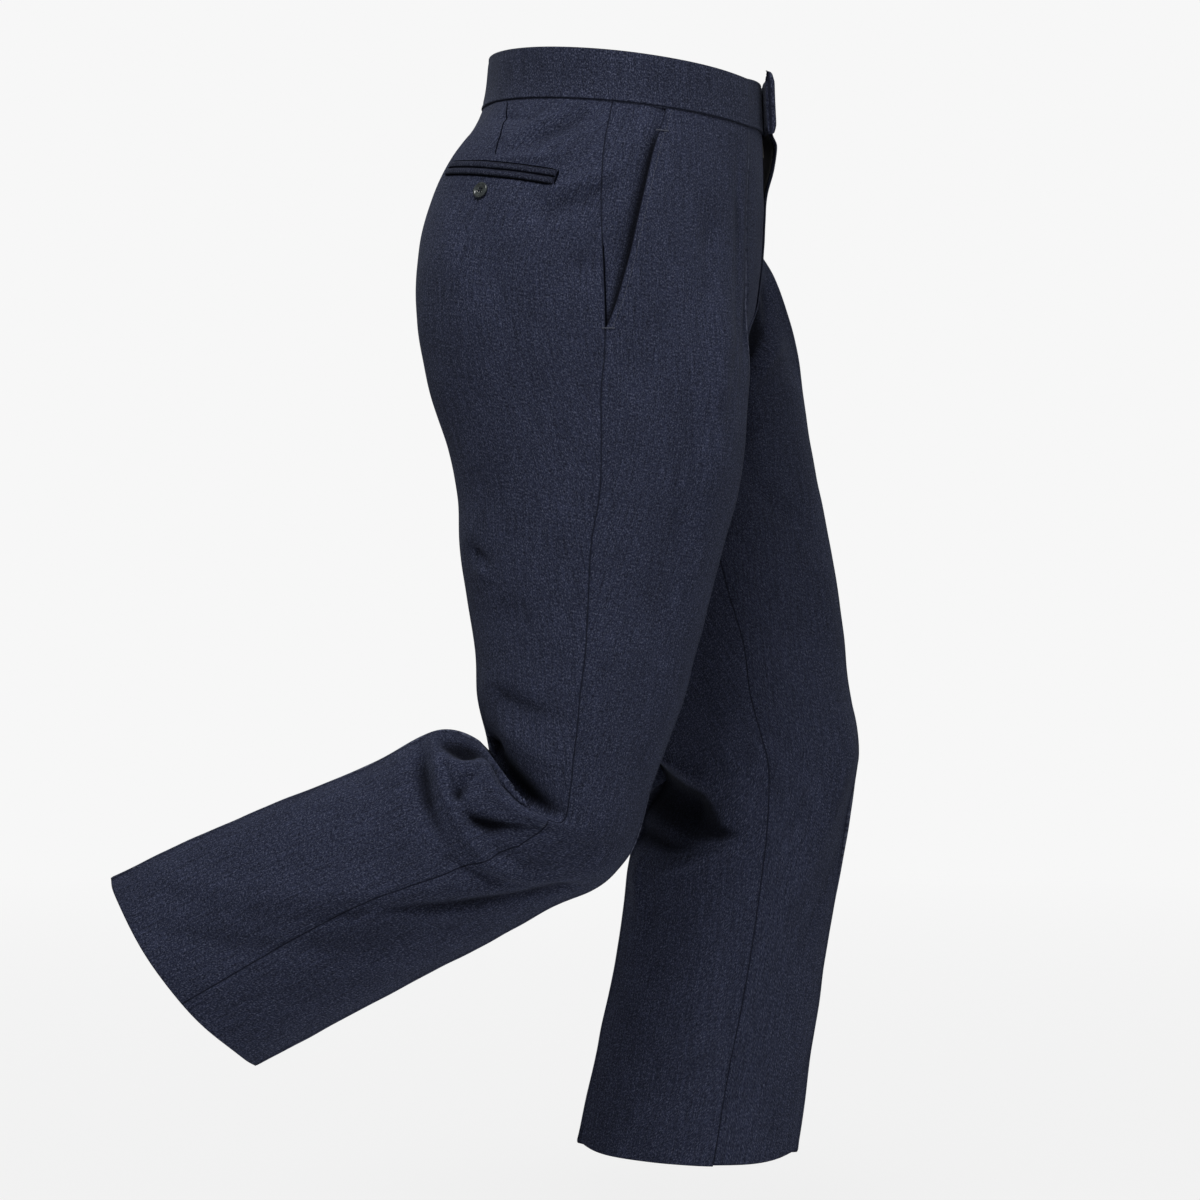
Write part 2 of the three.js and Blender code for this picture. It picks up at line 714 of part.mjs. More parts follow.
function fromSolid(solid) {
  const mesh = solid.getMesh();
  const geometry = new THREE.BufferGeometry();
  geometry.setAttribute("position", new THREE.Float32BufferAttribute(mesh.vertProperties, 3));
  geometry.setIndex(new THREE.BufferAttribute(mesh.triVerts, 1));
  geometry.computeVertexNormals();
  return geometry;
}

// A four-hole button with a raised rim, lying in the XY plane with its face up.
function buttonGeometry() {
  const r = BUTTON_RADIUS;
  const t = BUTTON_WALL;
  const profile = [
    [0, 0],
    [r - 1.2, 0],
    [r, 0.9],
    [r, t - 0.7],
    [r - 0.8, t],
    [r - 1.8, t],
    [r - 2.6, t - 0.9],
    [0, t - 0.9],
  ].map(([x, y]) => new THREE.Vector2(x, y));
  const disc = new THREE.LatheGeometry(profile, 20).rotateX(Math.PI / 2);
  let solid = toSolid(disc);
  if (solid.volume() < 0) throw new Error("the button's profile runs the wrong way");
  for (let i = 0; i < 4; i++) {
    const around = (i + 0.5) * 90 * degrees;
    const hole = new THREE.CylinderGeometry(BUTTON_HOLE, BUTTON_HOLE, 3 * t, 8).rotateX(Math.PI / 2);
    hole.translate(BUTTON_HOLE_OFF * Math.cos(around), BUTTON_HOLE_OFF * Math.sin(around), 0);
    solid = solid.subtract(toSolid(hole));
  }
  return fromSolid(solid);
}

// The button sits below the middle of the hip pocket.
function hipButton(side) {
  const leg = LEGS[side];
  const seamRow = rowAtDrop(leg, sideAngle(2.5), WELT_DROP);
  const start = angleAtDistance(leg, seamRow, sideAngle(seamRow), WELT_FROM_SEAM);
  const angle = angleAtDistance(leg, seamRow, start, WELT_LENGTH / 2);
  const row = rowAtDrop(leg, angle, WELT_DROP + BUTTON_DROP);
  const normal = clothNormal(leg, row, angle);
  const mesh = named(`${side}_button`, buttonGeometry(), HORN, 0.4);
  mesh.position.copy(clothPoint(leg, row, angle)).addScaledVector(normal, BUTTON_SEAT);
  mesh.quaternion.setFromUnitVectors(new THREE.Vector3(0, 0, 1), normal);
  return mesh;
}

const trousers = new THREE.Group();
for (const side of ["right", "left"]) {
  trousers.add(frontPanel(side));
  trousers.add(backPanel(side));
  trousers.add(pocketFacing(side));
  trousers.add(waistband(side));
  trousers.add(welt(side, -1));
  trousers.add(welt(side, 1));
  trousers.add(hipButton(side));
}
trousers.add(flyFacing());
trousers.add(flyShield());

export default trousers;
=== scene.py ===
"""Wool dress trousers in a running pose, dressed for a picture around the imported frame."""

import bpy
import numpy as np
from bpy.props import FloatProperty, FloatVectorProperty, PointerProperty
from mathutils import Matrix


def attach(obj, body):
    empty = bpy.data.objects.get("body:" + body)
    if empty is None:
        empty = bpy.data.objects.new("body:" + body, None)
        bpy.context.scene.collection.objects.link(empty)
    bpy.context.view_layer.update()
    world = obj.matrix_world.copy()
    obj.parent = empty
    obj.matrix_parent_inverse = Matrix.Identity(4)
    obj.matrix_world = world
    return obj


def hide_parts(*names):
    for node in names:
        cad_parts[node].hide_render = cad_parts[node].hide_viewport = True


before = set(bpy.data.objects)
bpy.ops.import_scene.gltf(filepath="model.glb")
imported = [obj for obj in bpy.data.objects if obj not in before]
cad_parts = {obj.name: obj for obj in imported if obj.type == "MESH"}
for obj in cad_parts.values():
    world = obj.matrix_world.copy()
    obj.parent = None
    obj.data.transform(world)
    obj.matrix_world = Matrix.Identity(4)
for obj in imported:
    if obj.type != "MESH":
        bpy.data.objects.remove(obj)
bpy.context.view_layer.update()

bl_info = {
    "name": "Dress trousers",
    "version": (1, 0, 0),
    "blender": (4, 5, 0),
    "location": "3D View > Sidebar > Trousers",
    "description": "Makes the sewn pieces of wool dress trousers with their creases, stitching and finishes",
    "category": "Add Mesh",
}

# Rows of the section tables, counted from the waistband's top
BAND_FOOT = 0.995
WAIST_SEAM = 1
FLY_FOOT_ROW = 4
POCKET_FOOT = 5.3
CROTCH = 7
HEM = 24

# Millimetres in a metre: the shapes are worked out in millimetres
MM = 1000

# Sizes in millimetres, as the solids have them
PANEL_WALL = 1.5
SEAM = 0.3
CLEAR = 0.9
BAND_HEIGHT = 48.0
HEM_DROP = 10
HEM_DROP_ROWS = 1.6
HEM_WAVE = 0.9
CREASE_HALF_ANGLE = 16
CREASE_HEIGHT = 2.4
TAB_REACH = 44
UNDERLAP = 34
TAB_LIFT = 6.5
TAB_RISE = 9
TAB_SAG = 5.5
TAB_PLUMP = 5.6
TAB_PLUMP_LENGTH = 34
TAB_ROUNDING = 9
FLY_OVERLAP = 5
FLY_FOOT_Z = -196
FLY_FADE = 26
FLY_BULGE = 12
FLY_BULGE_TOP_Z = -50
FLY_BULGE_FOOT_Z = -112
FLY_BULGE_WIDTH = 42
FLY_RISE = 5.5
SHIELD_HOLD = 26
SHIELD_GAP = 0.7
SHIELD_BEHIND = 2
POCKET_TOP = 50
POCKET_CURVE = 1.6
FACING_UNDER = 18
FACING_SINK = 2.6
WELT_FROM_SEAM = 44
WELT_LENGTH = 140
WELT_DROP = 83
WELT_RISE = 3
WELT_HEIGHT = 6.2
WELT_SLOT = 1.2
BUTTON_DROP = 21

# Rows between which the pressed creases of front and back rise to their height
FRONT_PRESS_ROWS = (1, 9)
BACK_PRESS_ROWS = (8, 13)
# Distances from the middle, in millimetres, between which creases grow beside the rise
QUIET_BY_RISE = (3, 24)

# A crease's section: how far it reaches in half widths, and how sharp and how rounded its line is
CREASE_REACH = 3
CREASE_SHARPNESS = 1.25
CREASE_ROUNDING = 0.06
CREASE_ROUNDING_ROOT = 0.245

# The cloth beside a seam, in millimetres: its puckers, and its dip into the stitches
PUCKER = 0.28
SEAM_DIP = 0.55
SEAM_DIP_WIDTH = 2.2

# Painted shadow lines in grooves: width and height over the cloth in millimetres
SEAM_STRIP = (3.0, -1.35)
SLOT_LINE = (3.0, 1.6)
WELT_LINE = (1.7, 0.7)
DART_LINE = (1.1, 0.45)
LINE_CROWN = 0.04
LINE_BODY = 0.25
# Rows and angles of the back dart
DART_ROWS = (1.0, 1.36, 1.72, 2.1)
DART_ANGLES = (167, 157, 147.4, 142)

# Stitching beside the side pocket's mouth, in millimetres but for the rows
STITCH_INSET = 5.5
STITCH_GAP = 0.9
THREAD_FLATNESS = 0.8
TACK_AT_ROWS = (1.5, 5.27)
TACK_INSIDE = 8.0
TACK_OUTSIDE = 4.0
TACK_SPACING = 0.55
TACK_ROWS = 0.017
TACK_HEIGHT = 0.25
# One stitch: place along it, thickness and height, as shares of its length, width and height
STITCH_PROFILE = ((-0.5, 0.15, -0.6), (-0.36, 0.8, 0.3), (0, 1.0, 0.55), (0.36, 0.8, 0.3), (0.5, 0.15, -0.6))
STITCH_SIDES = 6

# The hip pockets' buttons, in millimetres
BUTTON_SIDES = 48
BUTTON_LIFT = 0.35
BUTTON_FACE = 1.85
HOLE_REACH = 1.75
HOLE_RADIUS = 1.0
HOLE_SIDES = 16
HOLE_ENDS = (-1.0, 6.0)
THREAD_ASIDE = 0.24
BUTTON_THREAD = (0.45, 0.4)

# The zip: rows, and sizes in millimetres
TEETH_ROWS = (1.25, 3.8)
TEETH = 118
TEETH_STAGGER = 0.5
SLIDER_ROW = 1.16
ZIP_PAST_MIDDLE = 3.4
ZIP_DEPTH = 2.6

# How much painted shade the other leg casts on the cloth below the fork, at most
LEG_SHADE = 0.45
# Cloth that has no pressed crease counts its distance across from here, in millimetres
UNPRESSED = 1000.0
# Depths in a fold, in millimetres, between which its painted shade deepens
FOLD_SHADE = (0.8, 10.5)
# How far the painted shade beside a side pocket's mouth reaches, in millimetres
MOUTH_SHADE = 5.5

# Columns of each panel before and after its crease: more on the side that the picture shows
FRONT_COLUMNS = {"right": (32, 46), "left": (44, 34)}
BACK_COLUMNS = {"right": (60, 38), "left": (40, 54)}
# Columns of the left front that the fly's facing lines
FACING_COLUMNS = slice(8, 31)
# Steps in from an edge, close enough to round it: of a panel and of the waistband's height in millimetres, and of
# the waistband's ends in degrees
EDGE_STEPS = np.array([0, 0.22, 0.6, 1.3, 2.6])
BAND_EDGE_STEPS = np.array([0, 0.2, 0.6, 1.2, 2.2])
BAND_END_STEPS = np.array([0, 0.08, 0.25, 0.55, 1.1])
# Where a distance along the cloth is looked for: degrees from its start, and rows
SEARCH_ANGLES = np.arange(0, 140, 1.5)
SEARCH_ROWS = WAIST_SEAM + np.arange(0, 5, 0.05)
UP = np.array([0.0, 0.0, 1.0])

# The picture: the camera, the floor and the light, in metres, millimetres of lens and watts
CAMERA_PLACE = (-3.4, 0.0229, -0.481)
CAMERA_FOCAL = 107.1
CAMERA_SENSOR = 36.0
FLOOR_RADIUS = 30.0
FLOOR_SIDES = 96
SOFT_LIGHT = 0.17
LAMP_AIM = np.array([0, 0, -0.45])
LAMPS = (  # name, place, size, power
    ("key", (-1.6, 0.2, 2.5), 1.2, 62),
    ("fill", (-2.2, -2.8, 0.9), 1.4, 13),
    ("back", (2.4, 0.8, 1.8), 1.8, 14),
)


def table(names, rows):
    """Columns by name, so that each row of a table reads as one section."""
    return dict(zip(names.split(), np.array(rows, float).T))


# Front and back creases of each leg in side view
RIGHT_LINES = table("frontY frontZ backY backZ", [
    (-113.5, 5, 112.5, 31), (-116, -40.5, 120, -17), (-117, -80, 160, -68), (-117, -128, 183, -121),
    (-116, -178, 193, -173), (-115, -226, 192, -224), (-116, -262, 186.5, -262), (-115, -292, 179, -294),
    (-111.5, -340, 164.5, -340), (-104, -385, 154.8, -385), (-92, -430, 153.5, -430), (-79, -480, 146, -480),
    (-65.5, -530, 138, -530), (-54.5, -572, 137, -570), (-37.5, -615, 129, -606), (-23.5, -660, 123, -632),
    (-10.5, -707, 111, -660), (8, -733, 124, -636), (31, -750, 135, -610), (69, -767, 174, -602),
    (124, -798, 234, -632), (178, -825, 295, -657), (232, -854, 356, -682), (287, -883, 416, -709),
    (342, -913, 477, -738),
])
LEFT_LINES = table("frontY frontZ backY backZ", [
    (-113.5, 5, 112.5, 31), (-116, -40.5, 120, -17), (-117, -80, 160, -68), (-124, -126, 182, -121),
    (-147, -166, 189, -178), (-163, -208, 181, -236), (-172, -244, 164, -278), (-176, -282, 140, -318),
    (-183, -325, 116, -362), (-190, -368, 96, -406), (-198, -415, 78, -450), (-206, -462, 58, -497),
    (-214, -512, 34, -545), (-220, -560, 8, -588), (-228, -608, -16, -620), (-230, -634, -26, -640),
    (-226, -664, -22, -664), (-220, -706, -13, -704), (-212, -752, -4, -745), (-204, -796, 1, -790),
    (-196, -842, 8, -836), (-190, -886, 18, -882), (-183, -931, 27, -926), (-176.5, -978, 37, -970),
    (-171, -1021, 46.5, -1012),
])
# The centre seam: front rise and back rise, which meet at the fork
RISE = table("frontY frontZ backY backZ", [
    (-129.5, 8, 127.6, 33.3), (-131.5, -38.5, 135, -16), (-133, -81, 160, -68), (-132.5, -130, 180, -121),
    (-129, -180, 187, -172), (-118, -222, 172, -222), (-82, -262, 110, -268), (10, -290, 10, -290),
])
# Shape of both legs' sections
SHAPE = table("mid outer inner power side inseam frontTurn backTurn", [
    (74, 81, 74, 1, 97, 90, 28, 28), (75, 83, 75, 1, 96, 90, 28, 28), (78, 93, 78, 1, 89, 90, 28, 22),
    (82, 98, 82, 1, 84.5, 90, 26, 10), (86, 99, 86, 1, 81.5, 90, 20, 2), (90, 97, 90, 1, 81.5, 90, 10, 0),
    (92, 94, 92, 1, 83.5, 90, 4, 0), (93, 91, 92.8, 1, 86, 90, 0, 0), (94, 88, 86, 1.05, 88, 84, 0, 0),
    (94, 84, 80, 1.1, 89, 80, 0, 0), (94, 81, 76, 1.15, 90, 78, 0, 0), (94, 78, 73, 1.2, 90, 78, 0, 0),
    (94, 75, 70, 1.2, 90, 78, 0, 0), (94, 73, 68, 1.2, 90, 82, 0, 0), (94, 71, 66, 1.2, 89, 84, 0, 0),
    (94, 69, 65, 1.2, 88, 84, 0, 0), (94, 68, 64, 1.2, 87, 81, 0, 0), (94, 67, 63, 1.2, 85, 78, 0, 0),
    (94, 66, 62, 1.25, 83, 76, 0, 0), (94, 65, 61, 1.3, 83, 75.5, 0, 0), (94, 63, 60, 1.35, 82, 75.5, 0, 0),
    (94, 61, 59, 1.4, 82, 75.5, 0, 0), (94, 59, 57, 1.45, 81, 76, 0, 0), (94, 57, 56, 1.5, 79, 76, 0, 0),
    (94, 56, 55, 1.55, 77, 76, 0, 0),
])
# Rows and angles of the right leg's side seam past its knee
RIGHT_KNEE_SEAM = (
    (14, 15, 15.5, 16, 16.5, 17, 17.6, 18.2, 18.8, 19.3, 19.8, 20.4, 21, 22),
    (90, 89, 92, 96, 97, 94, 86.5, 79, 72.5, 73, 77, 80, 82, 81),
)
# Largest folds of the inner sides and of the left leg, as the solids have them
FOLD_COLUMNS = "face fromY fromZ toY toZ width fromDepth toDepth"
RIGHT_FOLDS = table(FOLD_COLUMNS, [
    (-1, 124, -630, 76, -684, 12, 8, 3), (-1, 150, -640, 110, -700, 14, -5, -2),
])
LEFT_FOLDS = table(FOLD_COLUMNS, [
    (-1, -24, -650, -66, -678, 14, 13, 8), (-1, -66, -678, -96, -694, 14, 8, 2),
    (-1, -30, -622, -92, -672, 16, -6, -2),
    (1, -24, -650, -84, -684, 14, 10, 3), (1, -30, -618, -96, -664, 16, -5, -2),
])

# Creases, drawn where they show in the photograph. Each point is across and down in its 1200 pixels, then the
# depth and half width in millimetres. A positive depth is a trough and a negative one a ridge. A crease's first
# number is its lean: above 0 its right-hand side is broader, looking along it in the photograph, and below 0 its
# left-hand side.
RIGHT_OUTER = [
    (0, [(488, 108, 0, 3), (510, 109, 3.4, 3.5), (543, 118, 0, 3.5)]),
    (0, [(604, 106, 0, 9), (580, 116, 4.2, 10), (540, 132, 4.6, 10), (503, 148, 1.1, 9)]),
    (0, [(566, 102, 0, 8), (545, 116, -3.4, 8), (513, 134, -2.7, 8), (500, 142, 0, 8)]),
    (0, [(470, 154, 0, 3), (500, 155, -2.3, 3), (540, 156, -2.7, 3.4), (566, 152, 0, 4)]),
    (0.3, [(540, 197, 0, 8), (566, 188, -3.8, 8), (602, 174, -3, 8), (630, 158, 0, 8)]),
    (0, [(520, 220, 0, 10), (552, 211, 3.8, 10), (596, 196, 3, 10), (622, 184, 0, 10)]),
    (0, [(560, 240, 0, 20), (580, 262, 3.4, 22), (600, 300, 0, 22)]),
    (0, [(440, 190, 0, 16), (452, 250, -4.2, 18), (470, 330, -2.7, 20), (480, 400, 0, 22)]),
    (0, [(500, 260, 0, 18), (520, 330, 2.7, 22), (540, 420, 2.3, 24), (550, 500, 0, 24)]),
    (0, [(600, 330, 0, 20), (604, 400, -2.7, 22), (596, 490, -3, 24), (580, 580, 0, 24)]),
    (0, [(725, 262, 0, 14), (724, 330, -4.6, 14), (721, 430, -4.9, 15), (703, 530, -4.6, 15), (683, 647, -3.8, 15),
         (657, 747, -3, 14), (644, 800, 0, 12)]),
    (0, [(742, 130, 1, 5), (743, 180, 3.6, 5), (743, 260, 3.6, 5), (740, 330, 3, 5),
         (732, 400, 2.6, 5), (720, 470, 0, 6)]),
    (0, [(753, 120, 0, 4), (755, 170, 3.4, 4), (755, 240, 4.2, 4), (752, 310, 4, 4),
         (746, 370, 3, 5), (738, 430, 0, 6)]),
    (0, [(712, 190, 0, 8), (710, 230, 3.6, 8), (708, 290, 3, 9), (704, 350, 2, 10), (696, 420, 0, 10)]),
    (0, [(690, 330, 0, 14), (690, 430, 3, 16), (676, 540, 3, 16), (655, 640, 2.3, 15), (636, 720, 0, 14)]),
    (0.35, [(465, 540, 0, 4), (474, 549, 6.1, 4.5), (486, 560, 2.3, 5), (494, 570, 0, 5)]),
    (0.3, [(472, 562, 0, 4), (481, 573, -3.4, 4.5), (492, 583, 0, 5)]),
    (0, [(495, 596, 0, 12), (512, 612, 3, 13), (540, 634, 0, 14)]),
    (0.3, [(484, 684, 0, 8), (500, 695, 5, 9), (535, 711, 4.4, 10), (574, 726, 0, 10)]),
    (0, [(484, 718, 0, 9), (510, 738, -4, 11), (545, 760, -3.6, 12), (580, 780, 0, 12)]),
    (-0.25, [(487, 738, 3, 7), (493, 760, 8, 9), (505, 781, 12, 11), (523, 799, 12, 11), (544, 812, 8.5, 10),
            (566, 820, 3.5, 9), (586, 824, 0, 8)]),
    (0, [(480, 746, -3, 7), (485, 768, -5.5, 9), (496, 790, -6.5, 9), (513, 805, -6, 8), (533, 814, -5, 7),
         (557, 822, -3.5, 6), (580, 827, 0, 6)]),
    (0.5, [(460, 812, 4, 6), (474, 820, 12, 9), (490, 824, 12, 8), (508, 826, 7, 6),
           (532, 828, 3, 6), (560, 833, 0, 6)]),
    (-0.2, [(430, 742, -3, 8), (437, 770, -6, 9), (449, 804, -6.5, 9), (470, 840, -6.5, 9), (488, 866, -6, 9),
            (522, 886, -5, 9), (562, 892, -3, 9), (592, 888, 0, 9)]),
    (0, [(416, 748, 3, 8), (419, 775, 8.5, 9), (425, 802, 8.5, 9), (435, 828, 6, 9),
         (449, 852, 3, 9), (468, 872, 0, 9)]),
    (0, [(442, 744, 9, 8), (462, 749, 14, 9), (484, 750, 12, 8)]),
    (0, [(441, 762, -2, 4), (450, 764, -4.5, 4), (462, 765, -4.5, 4), (473, 761, 0, 4)]),
    (0, [(443, 766, 4, 5), (449, 784, 8, 5.5), (455, 797, 9, 6), (462, 808, 4, 6)]),
    (0, [(455, 796, 4, 4), (462, 785, 6, 4), (473, 775, 5, 4), (481, 765, 2, 4), (485, 756, 0, 4)]),
    (0, [(452, 774, -3, 6), (466, 772, -4.5, 6), (474, 768, -2, 5)]),
    (0, [(476, 842, 2, 8), (500, 858, 4, 10), (524, 866, 2, 10), (556, 868, 0, 10)]),
    (0, [(396, 752, 0, 8), (396, 782, -3, 10), (404, 820, -2.6, 12), (420, 850, 0, 12)]),
    (0, [(360, 756, 0, 12), (356, 786, 2.4, 14), (362, 820, 0, 14)]),
    (0, [(134, 878, 0, 8), (166, 896, 3, 10), (203, 908, 2.6, 12), (240, 916, 2, 12), (290, 922, 2.4, 10),
         (324, 919, 3.4, 8), (350, 914, 3.6, 8), (372, 912, 0, 8)]),
    (-0.3, [(340, 919, 0, 8), (385, 912, 4, 7), (430, 911, 7, 7), (472, 908, 8, 7), (520, 901, 6.5, 6.5),
            (560, 894, 5, 6), (590, 889, 0, 5)]),
    (0.25, [(420, 843, 0, 5), (444, 860, 2, 6), (474, 874, 4, 6), (504, 884, 5.5, 6), (536, 890, 5, 6),
            (566, 891, 3, 6), (590, 889, 0, 5)]),
    (0, [(118, 862, 0, 9), (180, 884, -2.4, 11), (250, 897, -2.4, 12), (330, 900, -2.8, 13), (400, 892, -3, 13),
         (470, 892, -3, 11), (530, 892, -2, 7), (560, 891, 0, 6)]),
    (0, [(140, 925, 3, 16), (240, 945, 4, 18), (340, 948, 4, 18), (440, 936, 3, 14), (520, 916, 0, 12)]),
    (0, [(590, 610, 0, 18), (600, 690, -3.4, 20), (606, 770, -3.4, 20), (606, 850, 0, 20)]),
    (0, [(560, 846, 0, 10), (586, 850, 3.4, 12), (622, 846, 3, 12), (650, 836, 0, 12)]),
    (0, [(546, 866, 0, 8), (590, 872, -2.7, 9), (630, 866, 0, 10)]),
]
LEFT_INNER = [
    (0, [(786, 330, 0, 7), (776, 350, -6, 8), (764, 366, -8, 8), (746, 388, -6, 9)]),
    (0, [(768, 282, 5, 7), (764, 306, 13, 9), (762, 332, 14, 10), (750, 362, 13, 11), (738, 384, 8, 10)]),
    (0, [(736, 400, 8, 10), (744, 430, 9, 12), (742, 470, 5, 12)]),
    (0, [(810, 340, 0, 10), (796, 372, 2.9, 12), (776, 410, 0, 14)]),
    (0, [(763, 282, 0, 3), (766, 300, -5, 3), (767, 318, -4, 3), (764, 330, 0, 3)]),
    (0, [(742, 470, 0, 8), (760, 494, 4, 9), (782, 511, 3.2, 10), (800, 523, 0, 10)]),
    (0, [(735, 496, 0, 9), (756, 520, -2.9, 10), (782, 540, 0, 12)]),
    (0, [(842, 420, 0, 14), (838, 500, -3.2, 16), (836, 600, -3.2, 18), (842, 690, 0, 18)]),
    (0, [(812, 560, 0, 14), (800, 640, 2.5, 16), (790, 700, 0, 16)]),
    (0.35, [(650, 742, 0, 6), (672, 762, -6.1, 7), (690, 776, -4.3, 8), (708, 784, 0, 8)]),
    (0, [(640, 790, 12, 20), (666, 806, 15, 22), (694, 824, 15, 17), (718, 834, 11, 11),
         (738, 836, 4, 6), (748, 836, 0, 5)]),
    (0, [(642, 836, 8, 12), (664, 846, 8, 10), (690, 850, 4, 9), (716, 850, 0, 8)]),
    (0.3, [(744, 842, 0, 5), (722, 851, -4.7, 6), (700, 860, -5.4, 7), (673, 871, -4.3, 8), (650, 878, 0, 8)]),
    (0, [(716, 716, 0, 9), (724, 760, -3.6, 10), (740, 806, -2.9, 10), (748, 836, 0, 9)]),
    (0, [(696, 630, 0, 10), (697, 675, 3.6, 11), (704, 720, 0, 12)]),
    (0, [(752, 716, 0, 10), (768, 738, 2.9, 12), (798, 760, 2.2, 12), (820, 772, 0, 12)]),
    (0.2, [(856, 700, 0, 11), (850, 760, -4.7, 12), (838, 796, -5.4, 12), (822, 838, -5.4, 12), (802, 880, -4.7, 12),
           (778, 930, -4, 12), (753, 978, -2.9, 12), (742, 1020, 0, 12)]),
    (0, [(872, 760, 0, 8), (858, 810, 3.6, 9), (838, 870, 3.6, 9), (812, 930, 2.5, 9), (790, 980, 0, 9)]),
    (0.3, [(640, 852, 0, 4), (637, 880, -3.2, 5), (641, 912, -2.9, 5), (650, 936, 0, 5)]),
    (0, [(650, 884, 0, 6), (648, 916, 4, 7), (650, 948, 2.5, 7), (656, 980, 0, 8)]),
    (0, [(690, 900, 0, 14), (702, 950, -3.2, 16), (700, 1030, -3.2, 18), (694, 1110, 0, 18)]),
    (0, [(744, 1010, 0, 12), (736, 1060, 2.5, 14), (732, 1110, 1.8, 14), (730, 1150, 1.1, 12)]),
]
# Sides that the photograph hides, creased in the same manner
RIGHT_INNER = [
    (0, [(700, 330, 0, 12), (672, 360, 4.2, 13), (640, 400, 0, 14)]),
    (0, [(716, 352, 0, 12), (690, 388, -3.8, 12), (660, 430, 0, 14)]),
    (0, [(560, 400, 0, 22), (566, 500, -3.4, 22), (570, 620, 0, 22)]),
    (0.3, [(478, 700, 0, 8), (505, 716, 4.9, 9), (548, 734, 3, 10), (590, 742, 0, 10)]),
    (0.4, [(474, 744, 0, 5), (490, 776, 6.5, 6), (512, 800, 5.7, 7), (540, 818, 0, 8)]),
    (0.3, [(460, 790, 0, 6), (486, 812, -5.7, 7), (520, 828, -4.9, 8), (566, 838, 0, 9)]),
    (0, [(452, 812, 0, 7), (474, 836, 6.8, 9), (510, 852, 4.6, 9), (556, 862, 0, 9)]),
    (0, [(424, 752, 0, 7), (434, 790, -4.2, 8), (452, 840, -4.6, 9), (486, 876, 0, 10)]),
    (0, [(150, 880, 0, 9), (260, 900, 3.4, 10), (380, 904, 2.7, 10), (470, 900, 0, 10)]),
    (0, [(600, 620, 0, 18), (608, 720, -3.4, 20), (606, 840, 0, 20)]),
]
LEFT_OUTER = [
    (0, [(640, 196, 0, 10), (590, 206, 3.8, 11), (540, 220, 2.3, 11), (500, 232, 0, 11)]),
    (0, [(604, 106, 0, 9), (570, 118, 4.2, 10), (530, 132, 3.4, 10), (496, 148, 0, 9)]),
    (0, [(790, 300, 0, 14), (740, 340, 4.2, 16), (680, 372, 3.4, 18), (620, 392, 0, 18)]),
    (0, [(800, 334, 0, 14), (750, 376, -3.8, 16), (690, 408, -3.4, 18), (640, 424, 0, 18)]),
    (0, [(700, 440, 0, 16), (740, 520, -3.4, 18), (780, 600, 0, 20)]),
    (0, [(820, 420, 0, 16), (830, 520, 3.4, 18), (826, 640, 0, 18)]),
    (0.3, [(650, 738, 0, 7), (680, 764, -6.1, 8), (716, 788, -3.8, 9), (748, 800, 0, 9)]),
    (0.3, [(652, 770, 3.8, 7), (682, 796, 10.3, 10), (716, 822, 7.6, 10), (752, 836, 0, 10)]),
    (0, [(655, 826, 0, 8), (690, 850, -5.3, 9), (730, 862, -3.8, 10), (764, 860, 0, 10)]),
    (0, [(700, 700, 0, 10), (720, 740, 3.4, 11), (760, 776, 0, 12)]),
    (0, [(640, 860, 0, 6), (642, 920, -3.4, 8), (656, 980, 0, 10)]),
    (0, [(812, 760, 0, 12), (800, 860, -3.8, 13), (770, 960, -3.4, 14), (752, 1040, 0, 14)]),
    (0, [(700, 900, 0, 14), (710, 980, 3, 16), (706, 1080, 0, 16)]),
]

# How the photograph's pixels lie on the side view: at its middle, and pixels to a millimetre on each face
PHOTO_MIDDLE = 600
PHOTO_MIDDLE_Y = 22.9
PHOTO_MIDDLE_Z = -481
SCALE_RIGHT_OUTER = 1.105
SCALE_RIGHT_INNER = 1.06
SCALE_LEFT_INNER = 1.039
SCALE_LEFT_OUTER = 1.01

LEGS = {
    "right": {
        "sign": -1,
        "lines": RIGHT_LINES,
        "folds": RIGHT_FOLDS,
        "creases": [(1, SCALE_RIGHT_OUTER, RIGHT_OUTER), (-1, SCALE_RIGHT_INNER, RIGHT_INNER)],
    },
    "left": {
        "sign": 1,
        "lines": LEFT_LINES,
        "folds": LEFT_FOLDS,
        "creases": [(1, SCALE_LEFT_OUTER, LEFT_OUTER), (-1, SCALE_LEFT_INNER, LEFT_INNER)],
    },
}
OTHER = {"right": "left", "left": "right"}


def clamp01(t):
    return np.clip(t, 0.0, 1.0)


def mix(a, b, t):
    return a + (b - a) * t


def ease(low, high, x):
    t = clamp01((np.asarray(x, float) - low) / (high - low))
    return t * t * (3 - 2 * t)


def unit(v):
    return v / np.maximum(np.linalg.norm(v, axis=-1, keepdims=True), 1e-12)


def read(column, row):
    """A smooth curve through a column's values, read at fractional rows."""
    row = np.asarray(row, float)
    i = np.clip(np.floor(row).astype(int), 0, len(column) - 2)
    t = row - i
    ends = ([2 * column[0] - column[1]], column, [2 * column[-1] - column[-2]])
    padded = np.concatenate(ends)
    a, b, c, d = (padded[i + k] for k in range(4))
    slope_b = (c - a) / 2
    slope_c = (d - b) / 2
    tt = t * t
    ttt = tt * t
    return b * (2 * ttt - 3 * tt + 1) + slope_b * (ttt - 2 * tt + t) + c * (3 * tt - 2 * ttt) + slope_c * (ttt - tt)


def read_pair(columns, y, z, row):
    return np.stack([read(columns[y], row), read(columns[z], row)], axis=-1)


def crease_lines(leg, row):
    """The front and the back crease in side view, at rows."""
    lines = leg["lines"]
    return read_pair(lines, "frontY", "frontZ", row), read_pair(lines, "backY", "backZ", row)


def section_middle(leg, row):
    """Halfway between the two creases."""
    front, back = crease_lines(leg, row)
    return (front + back) / 2


